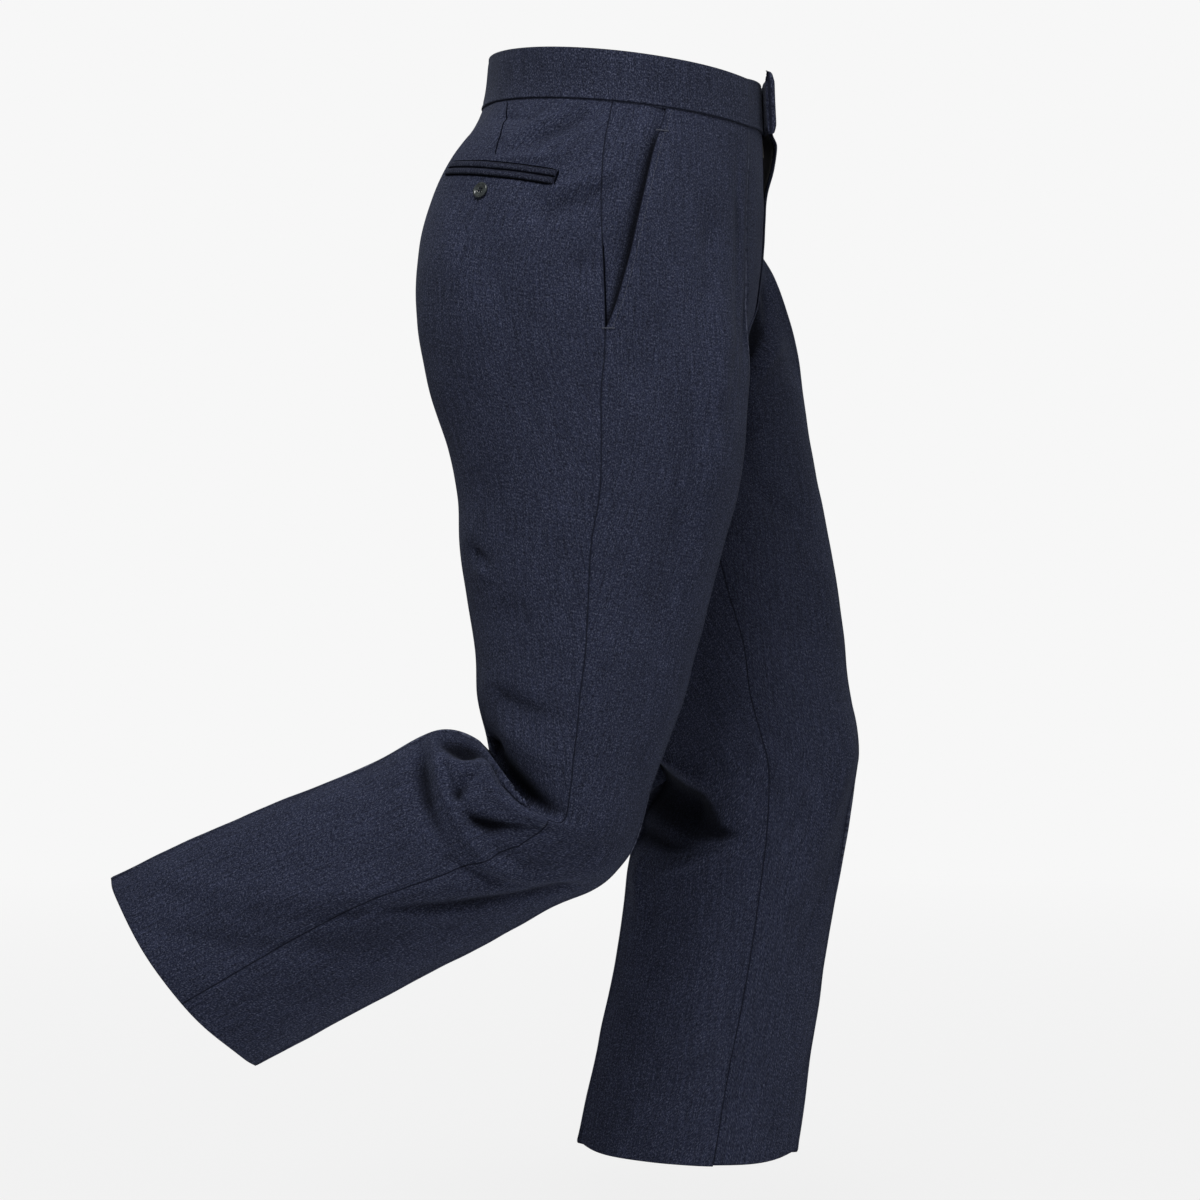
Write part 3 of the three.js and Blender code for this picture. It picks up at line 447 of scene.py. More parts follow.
def section(leg, row):
    """Both creases, the middle between them and the inner edges of front and back, at rows."""
    front, back = crease_lines(leg, row)
    middle = (front + back) / 2
    fork = read_pair(RISE, "frontY", "frontZ", CROTCH)
    top = section_middle(leg, CROTCH)
    below = middle + (fork - top) * (1 - ease(CROTCH, CROTCH + 2.6, row))[..., None]
    above = (np.asarray(row) < CROTCH)[..., None]
    rise_row = np.minimum(row, CROTCH)
    inner_front = np.where(above, read_pair(RISE, "frontY", "frontZ", rise_row), below)
    inner_back = np.where(above, read_pair(RISE, "backY", "backZ", rise_row), below)
    return front, back, middle, inner_front, inner_back


def base_point(leg, row, angle):
    """The smooth form of a leg. The angle runs from -90 at the inner edge of the front, by 0 at the front crease
    and 180 at the back crease, to 270 at the inner edge of the back."""
    row, angle = np.broadcast_arrays(np.asarray(row, float), np.asarray(angle, float))
    turned = np.where(angle > 270, angle - 360, angle)
    is_front = turned <= 90
    from_crease = np.where(is_front, turned, turned - 180)
    is_outer = np.where(is_front, from_crease >= 0, from_crease < 0)
    front, back, middle, inner_front, inner_back = section(leg, row)
    crease = np.where(is_front[..., None], front, back)
    mid = read(SHAPE["mid"], row)
    power = read(SHAPE["power"], row)
    share = np.abs(from_crease) / 90
    turn = np.radians(np.maximum(0, np.where(is_front, read(SHAPE["frontTurn"], row), read(SHAPE["backTurn"], row))))
    theta = mix(turn, np.pi / 2, share)
    start = np.sin(turn) ** power
    along_outer = (np.cos(turn) - np.cos(theta)) / np.cos(turn)
    across_outer = (np.sin(theta) ** power - start) / (1 - start)
    leg_like = ease(3.6, CROTCH, row)
    theta = share * np.pi / 2
    along_inner = mix(2 * share - share * share, 1 - np.cos(theta), leg_like)
    across_inner = mix(share, np.sin(theta) ** power, leg_like)
    along = np.where(is_outer, along_outer, along_inner)[..., None]
    across = np.where(is_outer, across_outer, across_inner)
    inner_end = np.where(is_front[..., None], inner_front, inner_back)
    end = np.where(is_outer[..., None], middle, inner_end)
    inner_x = np.maximum(SEAM / 2, mid - read(SHAPE["inner"], row))
    end_x = np.where(is_outer, mid + read(SHAPE["outer"], row), inner_x)
    out = crease - middle
    pressed_front = mix(1, CREASE_HEIGHT, ease(*FRONT_PRESS_ROWS, row))
    pressed = np.where(is_front, pressed_front, CREASE_HEIGHT * ease(*BACK_PRESS_ROWS, row))
    t = clamp01(1 - np.abs(from_crease) / CREASE_HALF_ANGLE)
    cosine = np.cos(np.radians(from_crease))
    set_back = pressed * (1 - t * t) * cosine / np.linalg.norm(out, axis=-1)
    hang = HEM_DROP * ease(HEM - HEM_DROP_ROWS, HEM, row) * (1 - cosine ** 3)
    hang = hang + HEM_WAVE * ease(HEM - 1, HEM, row) * np.sin(angle / 11 + np.sin(angle / 29))
    down = unit(section_middle(leg, HEM) - section_middle(leg, HEM - 1))
    side = mix(crease, end, along) + hang[..., None] * down - out * set_back[..., None]
    return np.concatenate([(leg["sign"] * mix(mid, end_x, across))[..., None], side], axis=-1)


def base_normal(leg, row, angle):
    """Which way the smooth form faces."""
    row, angle = np.broadcast_arrays(np.asarray(row, float), np.asarray(angle, float))
    low_limit = np.where(angle > 90, -1e9, -90.0)
    low = np.maximum(angle - 0.8, low_limit)
    high = np.where(angle <= 270, np.minimum(angle + 0.8, 270), angle + 0.8)
    up = np.maximum(row - 0.04, 0)
    down = np.minimum(row + 0.04, HEM)
    across = base_point(leg, row, high) - base_point(leg, row, low)
    along = base_point(leg, down, angle) - base_point(leg, up, angle)
    return unit(np.cross(across, along)) * -leg["sign"]


def fold_depth(leg, point, normal):
    """How deep the largest folds sink the cloth."""
    folds = leg["folds"]
    depth = np.zeros(point.shape[:-1])
    for i, face in enumerate(folds["face"]):
        start = np.array([folds["fromY"][i], folds["fromZ"][i]])
        run = np.array([folds["toY"][i], folds["toZ"][i]]) - start
        off = point[..., 1:] - start
        held = clamp01(off @ run / (run @ run))
        away = np.linalg.norm(off - held[..., None] * run, axis=-1) / folds["width"][i]
        facing = ease(0.05, 0.45, normal[..., 0] * leg["sign"] * face)
        depth += mix(folds["fromDepth"][i], folds["toDepth"][i], held) * np.exp(-away * away) * facing
    return depth


def crease_depth(leg, point, normal, strength):
    """Troughs and ridges of the creases, each broader on one side where its lean says so."""
    depth = np.zeros(point.shape[:-1])
    for face, scale, creases in leg["creases"]:
        facing = ease(0.02, 0.4, normal[..., 0] * leg["sign"] * face)
        for lean, points in creases:
            drawn = np.array(points, float)
            y = PHOTO_MIDDLE_Y + (PHOTO_MIDDLE - drawn[:, 0]) / scale
            z = PHOTO_MIDDLE_Z + (PHOTO_MIDDLE - drawn[:, 1]) / scale
            line = np.stack([y, z], axis=-1)
            reach = CREASE_REACH * drawn[:, 3].max()
            near = (point[..., 1] > y.min() - reach) & (point[..., 1] < y.max() + reach)
            near &= (point[..., 2] > z.min() - reach) & (point[..., 2] < z.max() + reach) & (facing > 0)
            if not near.any():
                continue
            at = point[near][:, 1:]
            best = np.full(len(at), 1e9)
            level = np.zeros(len(at))
            width = np.ones(len(at))
            side = np.zeros(len(at))
            for k in range(len(line) - 1):
                run = line[k + 1] - line[k]
                off = at - line[k]
                held = clamp01(off @ run / (run @ run))
                gap = off - held[:, None] * run
                away = np.linalg.norm(gap, axis=-1)
                closer = away < best
                best = np.where(closer, away, best)
                level = np.where(closer, mix(drawn[k, 2], drawn[k + 1, 2], held), level)
                width = np.where(closer, mix(drawn[k, 3], drawn[k + 1, 3], held), width)
                turn = run[0] * gap[:, 1] - run[1] * gap[:, 0]
                side = np.where(closer, turn / np.maximum(np.linalg.norm(run) * away, 1e-9), side)
            width = width * (1 + lean * side)
            t = best / width
            sharp = np.exp(-CREASE_SHARPNESS * (np.sqrt(t * t + CREASE_ROUNDING) - CREASE_ROUNDING_ROOT))
            soft = np.exp(-t * t)
            depth[near] += level * np.where(level > 0, 0.5 * sharp + 0.5 * soft, soft) * facing[near] * strength
    return depth


def unevenness(point):
    """The slight waviness of cloth that nothing holds flat, in millimetres."""
    x, y, z = point[..., 0], point[..., 1], point[..., 2]
    wave = np.sin(y / 19 + 1.7 * np.sin(z / 37 + x / 50)) * np.sin(z / 27 + 1.1 * np.sin(y / 31))
    fine = np.sin(y / 8.3 + 1.3 * np.sin(z / 17) + x / 23) * np.sin(z / 13.7 - y / 29 + 0.6)
    return 0.55 * wave + 0.16 * fine


def on_body(side, row, angle, creased=True):
    """Points and normals of the cloth's outer face. An angle past the centre front lies on the other leg."""
    row, angle = np.broadcast_arrays(np.asarray(row, float), np.asarray(angle, float))
    strength = settings().crease_strength
    points = np.zeros(row.shape + (3,))
    normals = np.zeros(row.shape + (3,))
    past = angle < -90
    for name, here, turned in ((side, ~past, angle), (OTHER[side], past, -180 - angle)):
        if not here.any():
            continue
        leg = LEGS[name]
        point = base_point(leg, row[here], turned[here])
        normal = base_normal(leg, row[here], turned[here])
        depth = fold_depth(leg, point, normal)
        if creased:
            creases = crease_depth(leg, point, normal, strength) * ease(1, 1.25, row[here])
            by_middle = 1 - ease(*QUIET_BY_RISE, np.abs(point[..., 0]))
            above_fork = 1 - ease(CROTCH + 0.5, CROTCH + 2, row[here])
            creases = creases * (1 - by_middle * above_fork)
            depth = depth + creases + unevenness(point) * ease(1, 1.3, row[here])
        points[here] = point - normal * depth[:, None]
        normals[here] = normal
    return points, normals


def run_lengths(points, axis):
    """Distances along a line or a grid of points, from its first one."""
    runs = np.linalg.norm(np.diff(points, axis=axis), axis=-1)
    return np.insert(np.cumsum(runs, axis=axis), 0, 0, axis=axis)


def angle_at(side, row, start, distance):
    """The angle that lies a distance along the section from another angle, at each row."""
    row = np.atleast_1d(np.asarray(row, float))
    start = np.broadcast_to(np.asarray(start, float), row.shape)
    distance = np.broadcast_to(np.asarray(distance, float), row.shape)
    way = np.sign(distance)
    lengths = run_lengths(base_point(LEGS[side], row[:, None], start[:, None] + way[:, None] * SEARCH_ANGLES), 1)
    found = [np.interp(abs(d), length, SEARCH_ANGLES) for d, length in zip(distance, lengths)]
    return start + way * np.array(found)


def row_at_drop(side, angle, drop):
    """The row that lies a distance below the waist seam, at each angle."""
    angle = np.atleast_1d(np.asarray(angle, float))
    drop = np.broadcast_to(np.asarray(drop, float), angle.shape)
    lengths = run_lengths(base_point(LEGS[side], SEARCH_ROWS[:, None], angle[None, :]), 0)
    return np.array([np.interp(d, lengths[:, i], SEARCH_ROWS) for i, d in enumerate(drop)])


def side_angle(side, row):
    """Where the side seam runs. The right one is drawn over by the bent knee."""
    drawn = ease(13.4, 14.6, row) * (1 - ease(20.6, 21.6, row)) if side == "right" else 0
    return mix(read(SHAPE["side"], row), np.interp(row, RIGHT_KNEE_SEAM[0], RIGHT_KNEE_SEAM[1]), drawn)


def inseam_angle(row):
    """Where the inseam runs, and above the fork the rise."""
    return np.where(np.asarray(row) <= CROTCH, 90.0, np.minimum(90, read(SHAPE["inseam"], row)))


def down_mouth(row):
    """How far down the side pocket's mouth a row lies, from 0 at the waist seam to 1 at its foot."""
    return (row - WAIST_SEAM) / (POCKET_FOOT - WAIST_SEAM)


def gaping(row):
    """How wide the mouth stands open at a row, as a share of its widest."""
    return np.sin(np.pi * clamp01((down_mouth(row) - 0.08) / 0.92))


def mouth_angle(side, row):
    """Where the front's outer edge runs: down the pocket's slant, then down the side seam."""
    seam = side_angle(side, row)
    slant = POCKET_TOP * (1 - clamp01(down_mouth(row)) ** POCKET_CURVE)
    return np.where(row >= POCKET_FOOT, seam, angle_at(side, row, seam, -np.maximum(slant, 1e-6)))


def even_rows(side, low, high, step):
    """Rows about a step apart, closer at both ends and at the knee."""
    rows = np.linspace(low, high, 900)
    crowding = 1 + 0.55 * ease(14.2, 15, rows) * (1 - ease(19.5, 20.5, rows))
    longest = np.zeros(len(rows))
    for angle in (0, 60, 180, 230):
        points = base_point(LEGS[side], rows, angle)
        runs = np.linalg.norm(np.diff(points, axis=0), axis=-1)
        longest = np.maximum(longest, np.concatenate([[0], np.cumsum(runs * crowding[1:])]))
    total = longest[-1]
    count = int(np.ceil((total - 2 * EDGE_STEPS[-1]) / step))
    middle = np.linspace(EDGE_STEPS[-1], total - EDGE_STEPS[-1], count + 1)[1:-1]
    lengths = np.concatenate([EDGE_STEPS, middle, total - EDGE_STEPS[::-1]])
    return np.interp(lengths, longest, rows)


def panel_angles(side, rows, start, crease, end, before, after):
    """Angles across a panel at each row, with a column on the crease: so many before it, so many after it, and
    closer ones at both edges."""
    leg = LEGS[side]
    start_run = np.linalg.norm(base_point(leg, rows, start + 1) - base_point(leg, rows, start), axis=-1)
    end_run = np.linalg.norm(base_point(leg, rows, end) - base_point(leg, rows, end - 1), axis=-1)
    first = start[:, None] + EDGE_STEPS / np.maximum(start_run, 0.2)[:, None]
    last = end[:, None] - EDGE_STEPS[::-1] / np.maximum(end_run, 0.2)[:, None]
    middle = np.full((len(rows), 1), float(crease))
    lead = mix(first[:, -1:], middle, np.linspace(0, 1, before + 1)[1:-1])
    trail = mix(middle, last[:, :1], np.linspace(0, 1, after + 1)[1:-1])
    return np.concatenate([first, lead, middle, trail, last], axis=1)


def crease_column(columns):
    """The number of the column that lies on a panel's crease."""
    return len(EDGE_STEPS) + columns[0] - 1


def grid_lengths(points):
    """Distances over a grid's face: across from its first column, along from its first row, and to its edge."""
    across, along = run_lengths(points, 1), run_lengths(points, 0)
    edge = np.minimum(np.minimum(across, across[:, -1:] - across), np.minimum(along, along[-1:] - along))
    return across, along, edge


def grid_normals(points, outward):
    """Normals of a grid of points, turned to the side of given normals."""
    across = np.gradient(points, axis=1)
    along = np.gradient(points, axis=0)
    normals = unit(np.cross(across, along))
    turned = np.sum(normals * outward, axis=-1, keepdims=True) < 0
    return np.where(turned, -normals, normals)


def plain_mesh(name, points, faces, smooth=True):
    """A mesh of points given in millimetres."""
    mesh = bpy.data.meshes.new(name)
    mesh.from_pydata((np.asarray(points, float) / MM).tolist(), [], faces)
    mesh.polygons.foreach_set("use_smooth", [smooth] * len(mesh.polygons))
    return mesh


def wall_mesh(name, outer, inner, cloth, painted_shade=None):
    """A closed thin wall between two grids. cloth holds three values for each outer point, and the last argument says
    how much painted shade darkens it, from 0 to 1."""
    rows, columns = outer.shape[:2]
    layer = rows * columns
    points = np.concatenate([outer.reshape(-1, 3), inner.reshape(-1, 3)])
    node = np.arange(layer).reshape(rows, columns)
    a, b = node[:-1, :-1].ravel(), node[:-1, 1:].ravel()
    d, e = node[1:, :-1].ravel(), node[1:, 1:].ravel()
    front = np.stack([a, b, e, d], axis=-1)
    back = np.stack([a, d, e, b], axis=-1) + layer
    rim = np.concatenate([node[0], node[1:, -1], node[-1, -2::-1], node[-2:0:-1, 0]])
    after = np.roll(rim, -1)
    edge = np.stack([after, rim, rim + layer, after + layer], axis=-1)
    faces = np.concatenate([front, back, edge])
    one, two, three, four = (points[faces[:, k]] for k in range(4))
    volume = np.sum(np.cross(one, two) * three) + np.sum(np.cross(one, three) * four)
    if volume < 0:
        faces = faces[:, ::-1]
    mesh = plain_mesh(name, points, faces.tolist())
    values = np.concatenate([cloth.reshape(-1, 3), cloth.reshape(-1, 3)]).astype(np.float32)
    mesh.attributes.new("cloth", "FLOAT_VECTOR", "POINT").data.foreach_set("vector", values.ravel())
    shaded = np.zeros(2 * layer, np.float32)
    if painted_shade is not None:
        shaded[:layer] = painted_shade.ravel()
    mesh.attributes.new("painted_shade", "FLOAT", "POINT").data.foreach_set("value", shaded)
    mesh.update()
    return mesh


def place_in_scene(name, data, location=(0, 0, 0)):
    """A new object, linked into the scene."""
    thing = bpy.data.objects.new(name, data)
    bpy.context.scene.collection.objects.link(thing)
    thing.location = location
    return thing


def add_piece(name, mesh, material, replaces=()):
    """Puts a finished mesh into the scene as a piece of the trousers."""
    piece = place_in_scene(name, mesh)
    mesh.materials.append(material)
    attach(piece, "root")
    if replaces:
        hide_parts(*replaces)
    return piece


def rounded(points, normals, edge, wall, thicker=None):
    """Outer and inner faces of cloth whose cut edges are rounded."""
    radius = np.minimum(wall / 2, EDGE_STEPS[-2])
    drop = radius - np.sqrt(np.maximum(0, radius**2 - np.maximum(0, radius - edge) ** 2))
    full = wall if thicker is None else wall + thicker
    outer = points - normals * drop[..., None]
    inner = points - normals * (full - drop)[..., None]
    return outer, inner


def between_legs(side, points, normals):
    """Painted shade where the other leg keeps the light off, from 0 to LEG_SHADE just below the fork."""
    inward = ease(0.1, 0.7, -LEGS[side]["sign"] * normals[..., 0])
    z = points[..., 2]
    return LEG_SHADE * inward * ease(-860, -330, z) * (1 - ease(-215, -150, z))


def cloth_wall(
    name, side, rows, angles, lift, wall, thicker=None, push=None, centre=None, extra=None, painted_shade=None
):
    """A piece of cloth that follows the leg's face, lift millimetres off it. centre is its pressed column."""
    points, normals = on_body(side, rows[:, None], angles)
    # Unless given, painted shade darkens the cloth in its folds and where the other leg shades it
    if painted_shade is None:
        sunk = np.sum((smooth_points(side, rows[:, None], angles) - points) * normals, axis=-1)
        painted_shade = np.maximum(ease(*FOLD_SHADE, sunk), between_legs(side, points, normals))
    points = points + normals * lift[..., None]
    if push is not None:
        points = points + push
    across, along, edge = grid_lengths(smooth_points(side, rows[:, None], angles))
    points = seam_shape(points, normals, along, edge) if extra is None else points - normals * extra[..., None]
    faced = grid_normals(points, normals)
    outer, inner = rounded(points, faced, edge, wall, thicker)
    middle = -UNPRESSED if centre is None else across[:, [centre]]
    cloth = np.stack([across - middle, along, edge], axis=-1) / MM
    return wall_mesh(name, outer, inner, cloth, painted_shade)


def seam_shape(points, normals, along, edge):
    """Draws the cloth down into a seam, and puckers it slightly beside the stitches."""
    pucker = PUCKER * np.sin(along / 4.1 + 1.4 * np.sin(along / 23)) * np.exp(-edge / 6) * ease(0.3, 2.5, edge)
    dip = SEAM_DIP * np.exp(-((edge / SEAM_DIP_WIDTH) ** 2))
    return points - normals * (pucker + dip)[..., None]


# ---------------------------------------------------------------- materials


def new_material(name):
    """A fresh finish with its nodes, links and shader."""
    material = bpy.data.materials.new(name)
    material.use_nodes = True
    nodes = material.node_tree.nodes
    return material, nodes, material.node_tree.links, nodes["Principled BSDF"]


def scaled_cloth(nodes, links, across, along):
    """The place on the cloth, stretched so that a texture's marks are long one way."""
    source = nodes.new("ShaderNodeAttribute")
    source.attribute_name = "cloth"
    mapping = nodes.new("ShaderNodeMapping")
    mapping.inputs["Scale"].default_value = (across, along, 0.0)
    links.new(source.outputs["Vector"], mapping.inputs["Vector"])
    return source, mapping.outputs["Vector"]


def noise(nodes, links, vector, scale, detail=2.0, rough=0.6):
    """A cloudy texture, finer as its scale grows."""
    texture = nodes.new("ShaderNodeTexNoise")
    texture.inputs["Scale"].default_value = scale
    texture.inputs["Detail"].default_value = detail
    texture.inputs["Roughness"].default_value = rough
    links.new(vector, texture.inputs["Vector"])
    return texture.outputs["Fac"]


def ramp(nodes, links, value, low, high, start=0.0, end=1.0):
    """Turns the values from low to high into those from start to end."""
    reshape = nodes.new("ShaderNodeMapRange")
    reshape.inputs["From Min"].default_value = low
    reshape.inputs["From Max"].default_value = high
    reshape.inputs["To Min"].default_value = start
    reshape.inputs["To Max"].default_value = end
    links.new(value, reshape.inputs["Value"])
    return reshape.outputs["Result"]


def feed(links, socket, value):
    """Links another node's output to a socket, or sets the socket to a plain value."""
    if isinstance(value, bpy.types.NodeSocket):
        links.new(value, socket)
    else:
        socket.default_value = value


def blend_colours(nodes, links, fac, a, b, mode="MIX"):
    """Two colours blended by a share."""
    node = nodes.new("ShaderNodeMix")
    node.data_type = "RGBA"
    node.blend_type = mode
    for number, value in ((0, fac), (6, a), (7, b)):
        feed(links, node.inputs[number], value)
    return node.outputs[2]


def colour4(colour, factor=1.0):
    """A colour made darker or paler, with its opacity."""
    return (colour[0] * factor, colour[1] * factor, colour[2] * factor, 1.0)


def worked_out(nodes, links, operation, *values):
    """One number worked out from others."""
    node = nodes.new("ShaderNodeMath")
    node.operation = operation
    for socket, value in zip(node.inputs, values):
        feed(links, socket, value)
    return node.outputs[0]


def mottle(nodes, links, shader, texture, colour, dark, pale):
    """Colours a finish between a darker and a paler tone of its colour, as a texture says."""
    tone = ramp(nodes, links, texture, 0.3, 0.7)
    ground = blend_colours(nodes, links, tone, colour4(colour, dark), colour4(colour, pale))
    links.new(ground, shader.inputs["Base Color"])


def raise_grain(nodes, links, shader, height, strength, distance):
    """Raises a finish's grain by a texture."""
    bump = nodes.new("ShaderNodeBump")
    bump.inputs["Strength"].default_value = strength
    bump.inputs["Distance"].default_value = distance
    links.new(height, bump.inputs["Height"])
    links.new(bump.outputs["Normal"], shader.inputs["Normal"])


def wool_material(name, colour, fleck_and_highlight, seam_shade=0.45):
    """Napped worsted: pale and dark fibres mixed and faint lines along the warp, with painted shade at the seam edges,
    beside the pressed crease and where the shade attribute darkens it, and a painted highlight along the crease.
    """
    material, nodes, links, shader = new_material(name)
    source, fine_at = scaled_cloth(nodes, links, 1.0, 0.62)
    _, warp_at = scaled_cloth(nodes, links, 1.0, 0.05)
    _, broad_at = scaled_cloth(nodes, links, 1.0, 1.0)
    fine = noise(nodes, links, fine_at, 900.0, 2.0, 0.7)
    medium = noise(nodes, links, fine_at, 330.0, 2.0, 0.6)
    warp = noise(nodes, links, warp_at, 560.0, 1.0, 0.5)
    broad = noise(nodes, links, broad_at, 18.0, 2.0, 0.5)
    pale = ramp(nodes, links, fine, 0.52, 0.68)
    ground = blend_colours(nodes, links, pale, colour4(colour), colour4(fleck_and_highlight))
    dark = ramp(nodes, links, fine, 0.5, 0.3)
    ground = blend_colours(nodes, links, dark, ground, colour4(colour, 0.25))
    lines = ramp(nodes, links, warp, 0.3, 0.7, 0.78, 1.24)
    patches = ramp(nodes, links, medium, 0.25, 0.75, 0.68, 1.38)
    clouds = ramp(nodes, links, broad, 0.25, 0.75, 0.92, 1.1)
    for value in (lines, patches, clouds):
        grey = nodes.new("ShaderNodeCombineColor")
        for channel in range(3):
            links.new(value, grey.inputs[channel])
        ground = blend_colours(nodes, links, 1.0, ground, grey.outputs[0], "MULTIPLY")
    split = nodes.new("ShaderNodeSeparateXYZ")
    links.new(source.outputs["Vector"], split.inputs[0])
    # Painted shade: darker within about a millimetre of a cut edge, in the seam's groove
    at_seam = ramp(nodes, links, split.outputs["Z"], 0.0011, 0.0002)
    ground = blend_colours(nodes, links, at_seam, ground, colour4(colour, seam_shade))
    # Painted highlight on the pressed crease, broken by the mottling, and painted shade in a strip either side of it
    off_crease = worked_out(nodes, links, "ABSOLUTE", split.outputs["X"])
    painted_crease_highlight = ramp(nodes, links, off_crease, 0.0012, 0.0004, 0.0, 0.85)
    broken_crease_highlight = worked_out(nodes, links, "MULTIPLY", painted_crease_highlight, ramp(nodes, links, medium, 0.38, 0.6, 0.1, 1.0))
    beside = ramp(nodes, links, off_crease, 0.0060, 0.0012, 0.0, 0.45)
    ground = blend_colours(nodes, links, beside, ground, colour4(colour, 0.4))
    ground = blend_colours(nodes, links, broken_crease_highlight, ground, colour4(fleck_and_highlight, 1.25))
    # Painted shade: the colour turns almost black as the shade attribute rises
    fold = nodes.new("ShaderNodeAttribute")
    fold.attribute_name = "painted_shade"
    painted_shade_amount = ramp(nodes, links, fold.outputs["Fac"], 0.0, 1.0, 0.0, 0.86)
    ground = blend_colours(nodes, links, painted_shade_amount, ground, colour4(colour, 0.05))
    links.new(ground, shader.inputs["Base Color"])
    shader.inputs["Roughness"].default_value = 0.95
    shader.inputs["Specular IOR Level"].default_value = 0.1
    shader.inputs["Sheen Weight"].default_value = 0.05
    shader.inputs["Sheen Roughness"].default_value = 0.5
    shader.inputs["Sheen Tint"].default_value = (0.7, 0.8, 1.0, 1.0)
    height = worked_out(nodes, links, "MULTIPLY_ADD", warp, 0.5, fine)
    raise_grain(nodes, links, shader, height, 0.6, 0.0007)
    return material


def lining_material(name, colour):
    """Dark satin-weave lining with a fine cross rib."""
    material, nodes, links, shader = new_material(name)
    _, at = scaled_cloth(nodes, links, 0.08, 1.0)
    rib = noise(nodes, links, at, 2400.0, 1.0, 0.5)
    mottle(nodes, links, shader, rib, colour, 0.8, 1.25)
    shader.inputs["Roughness"].default_value = 0.55
    shader.inputs["Sheen Weight"].default_value = 0.1
    raise_grain(nodes, links, shader, rib, 0.3, 0.0002)
    return material


def object_noise(nodes, links, scale, stretch=(1.0, 1.0, 1.0)):
    """A cloudy texture laid through a small part."""
    place = nodes.new("ShaderNodeTexCoord")
    mapping = nodes.new("ShaderNodeMapping")
    mapping.inputs["Scale"].default_value = stretch
    links.new(place.outputs["Object"], mapping.inputs["Vector"])
    return noise(nodes, links, mapping.outputs["Vector"], scale, 2.0, 0.5)


def horn_material(name, colour):
    """Moulded button with a cloudy horn look."""
    material, nodes, links, shader = new_material(name)
    mottle(nodes, links, shader, object_noise(nodes, links, 220.0), colour, 0.6, 1.5)
    shader.inputs["Roughness"].default_value = 0.22
    shader.inputs["Specular IOR Level"].default_value = 0.7
    return material


def thread_material(name, colour, shine=0.4):
    """Twisted thread, or, with no shine, the painted shadow in a groove."""
    material, nodes, links, shader = new_material(name)
    mottle(nodes, links, shader, object_noise(nodes, links, 2600.0), colour, 0.75, 1.3)
    shader.inputs["Roughness"].default_value = 0.7
    shader.inputs["Specular IOR Level"].default_value = shine
    return material


def metal_material(name, colour):
    """Brushed metal of the zip."""
    material, nodes, links, shader = new_material(name)
    brushed = object_noise(nodes, links, 900.0, (1.0, 1.0, 0.2))
    mottle(nodes, links, shader, brushed, colour, 0.8, 1.15)
    links.new(ramp(nodes, links, brushed, 0.2, 0.8, 0.25, 0.42), shader.inputs["Roughness"])
    shader.inputs["Metallic"].default_value = 1.0
    return material


def floor_material(name, colour, world):
    """Plain pale floor that fades into the backdrop far from the trousers."""
    material, nodes, links, shader = new_material(name)
    mottle(nodes, links, shader, object_noise(nodes, links, 60.0), colour, 0.985, 1.0)
    shader.inputs["Roughness"].default_value = 0.9
    shader.inputs["Specular IOR Level"].default_value = 0.1
    place = nodes.new("ShaderNodeTexCoord")
    length = nodes.new("ShaderNodeVectorMath")
    length.operation = "LENGTH"
    links.new(place.outputs["Object"], length.inputs[0])
    far = ramp(nodes, links, length.outputs["Value"], 0.6, 5.0, 0.9, 1.0)
    seen = nodes.new("ShaderNodeLightPath")
    seen_far = worked_out(nodes, links, "MULTIPLY", far, seen.outputs["Is Camera Ray"])
    glow = nodes.new("ShaderNodeEmission")
    glow.inputs["Color"].default_value = colour4(world)
    blend = nodes.new("ShaderNodeMixShader")
    links.new(seen_far, blend.inputs[0])
    links.new(shader.outputs[0], blend.inputs[1])
    links.new(glow.outputs[0], blend.inputs[2])
    links.new(blend.outputs[0], nodes["Material Output"].inputs["Surface"])
    return material


MATERIALS = {}


def finish(name):
    """A finish by name, made once."""
    if name not in MATERIALS:
        s = settings()
        makers = {
            "trouser_wool": lambda n: wool_material(n, s.wool, s.fleck_and_highlight),
            "band_wool": lambda n: wool_material(n, s.band_wool, s.fleck_and_highlight),
            "welt_wool": lambda n: wool_material(n, s.welt_wool, s.fleck_and_highlight, 0.3),
            "fly_lining": lambda n: lining_material(n, s.lining),
            "button_horn": lambda n: horn_material(n, s.horn),
            "sewing_thread": lambda n: thread_material(n, s.thread),
            "button_thread": lambda n: thread_material(n, s.welt_wool, 0.2),
            "seam_shadow": lambda n: thread_material(n, s.seam_dark, 0.0),
            "zip_metal": lambda n: metal_material(n, s.metal),
        }
        MATERIALS[name] = makers[name](name)
    return MATERIALS[name]


# ---------------------------------------------------------------- settings


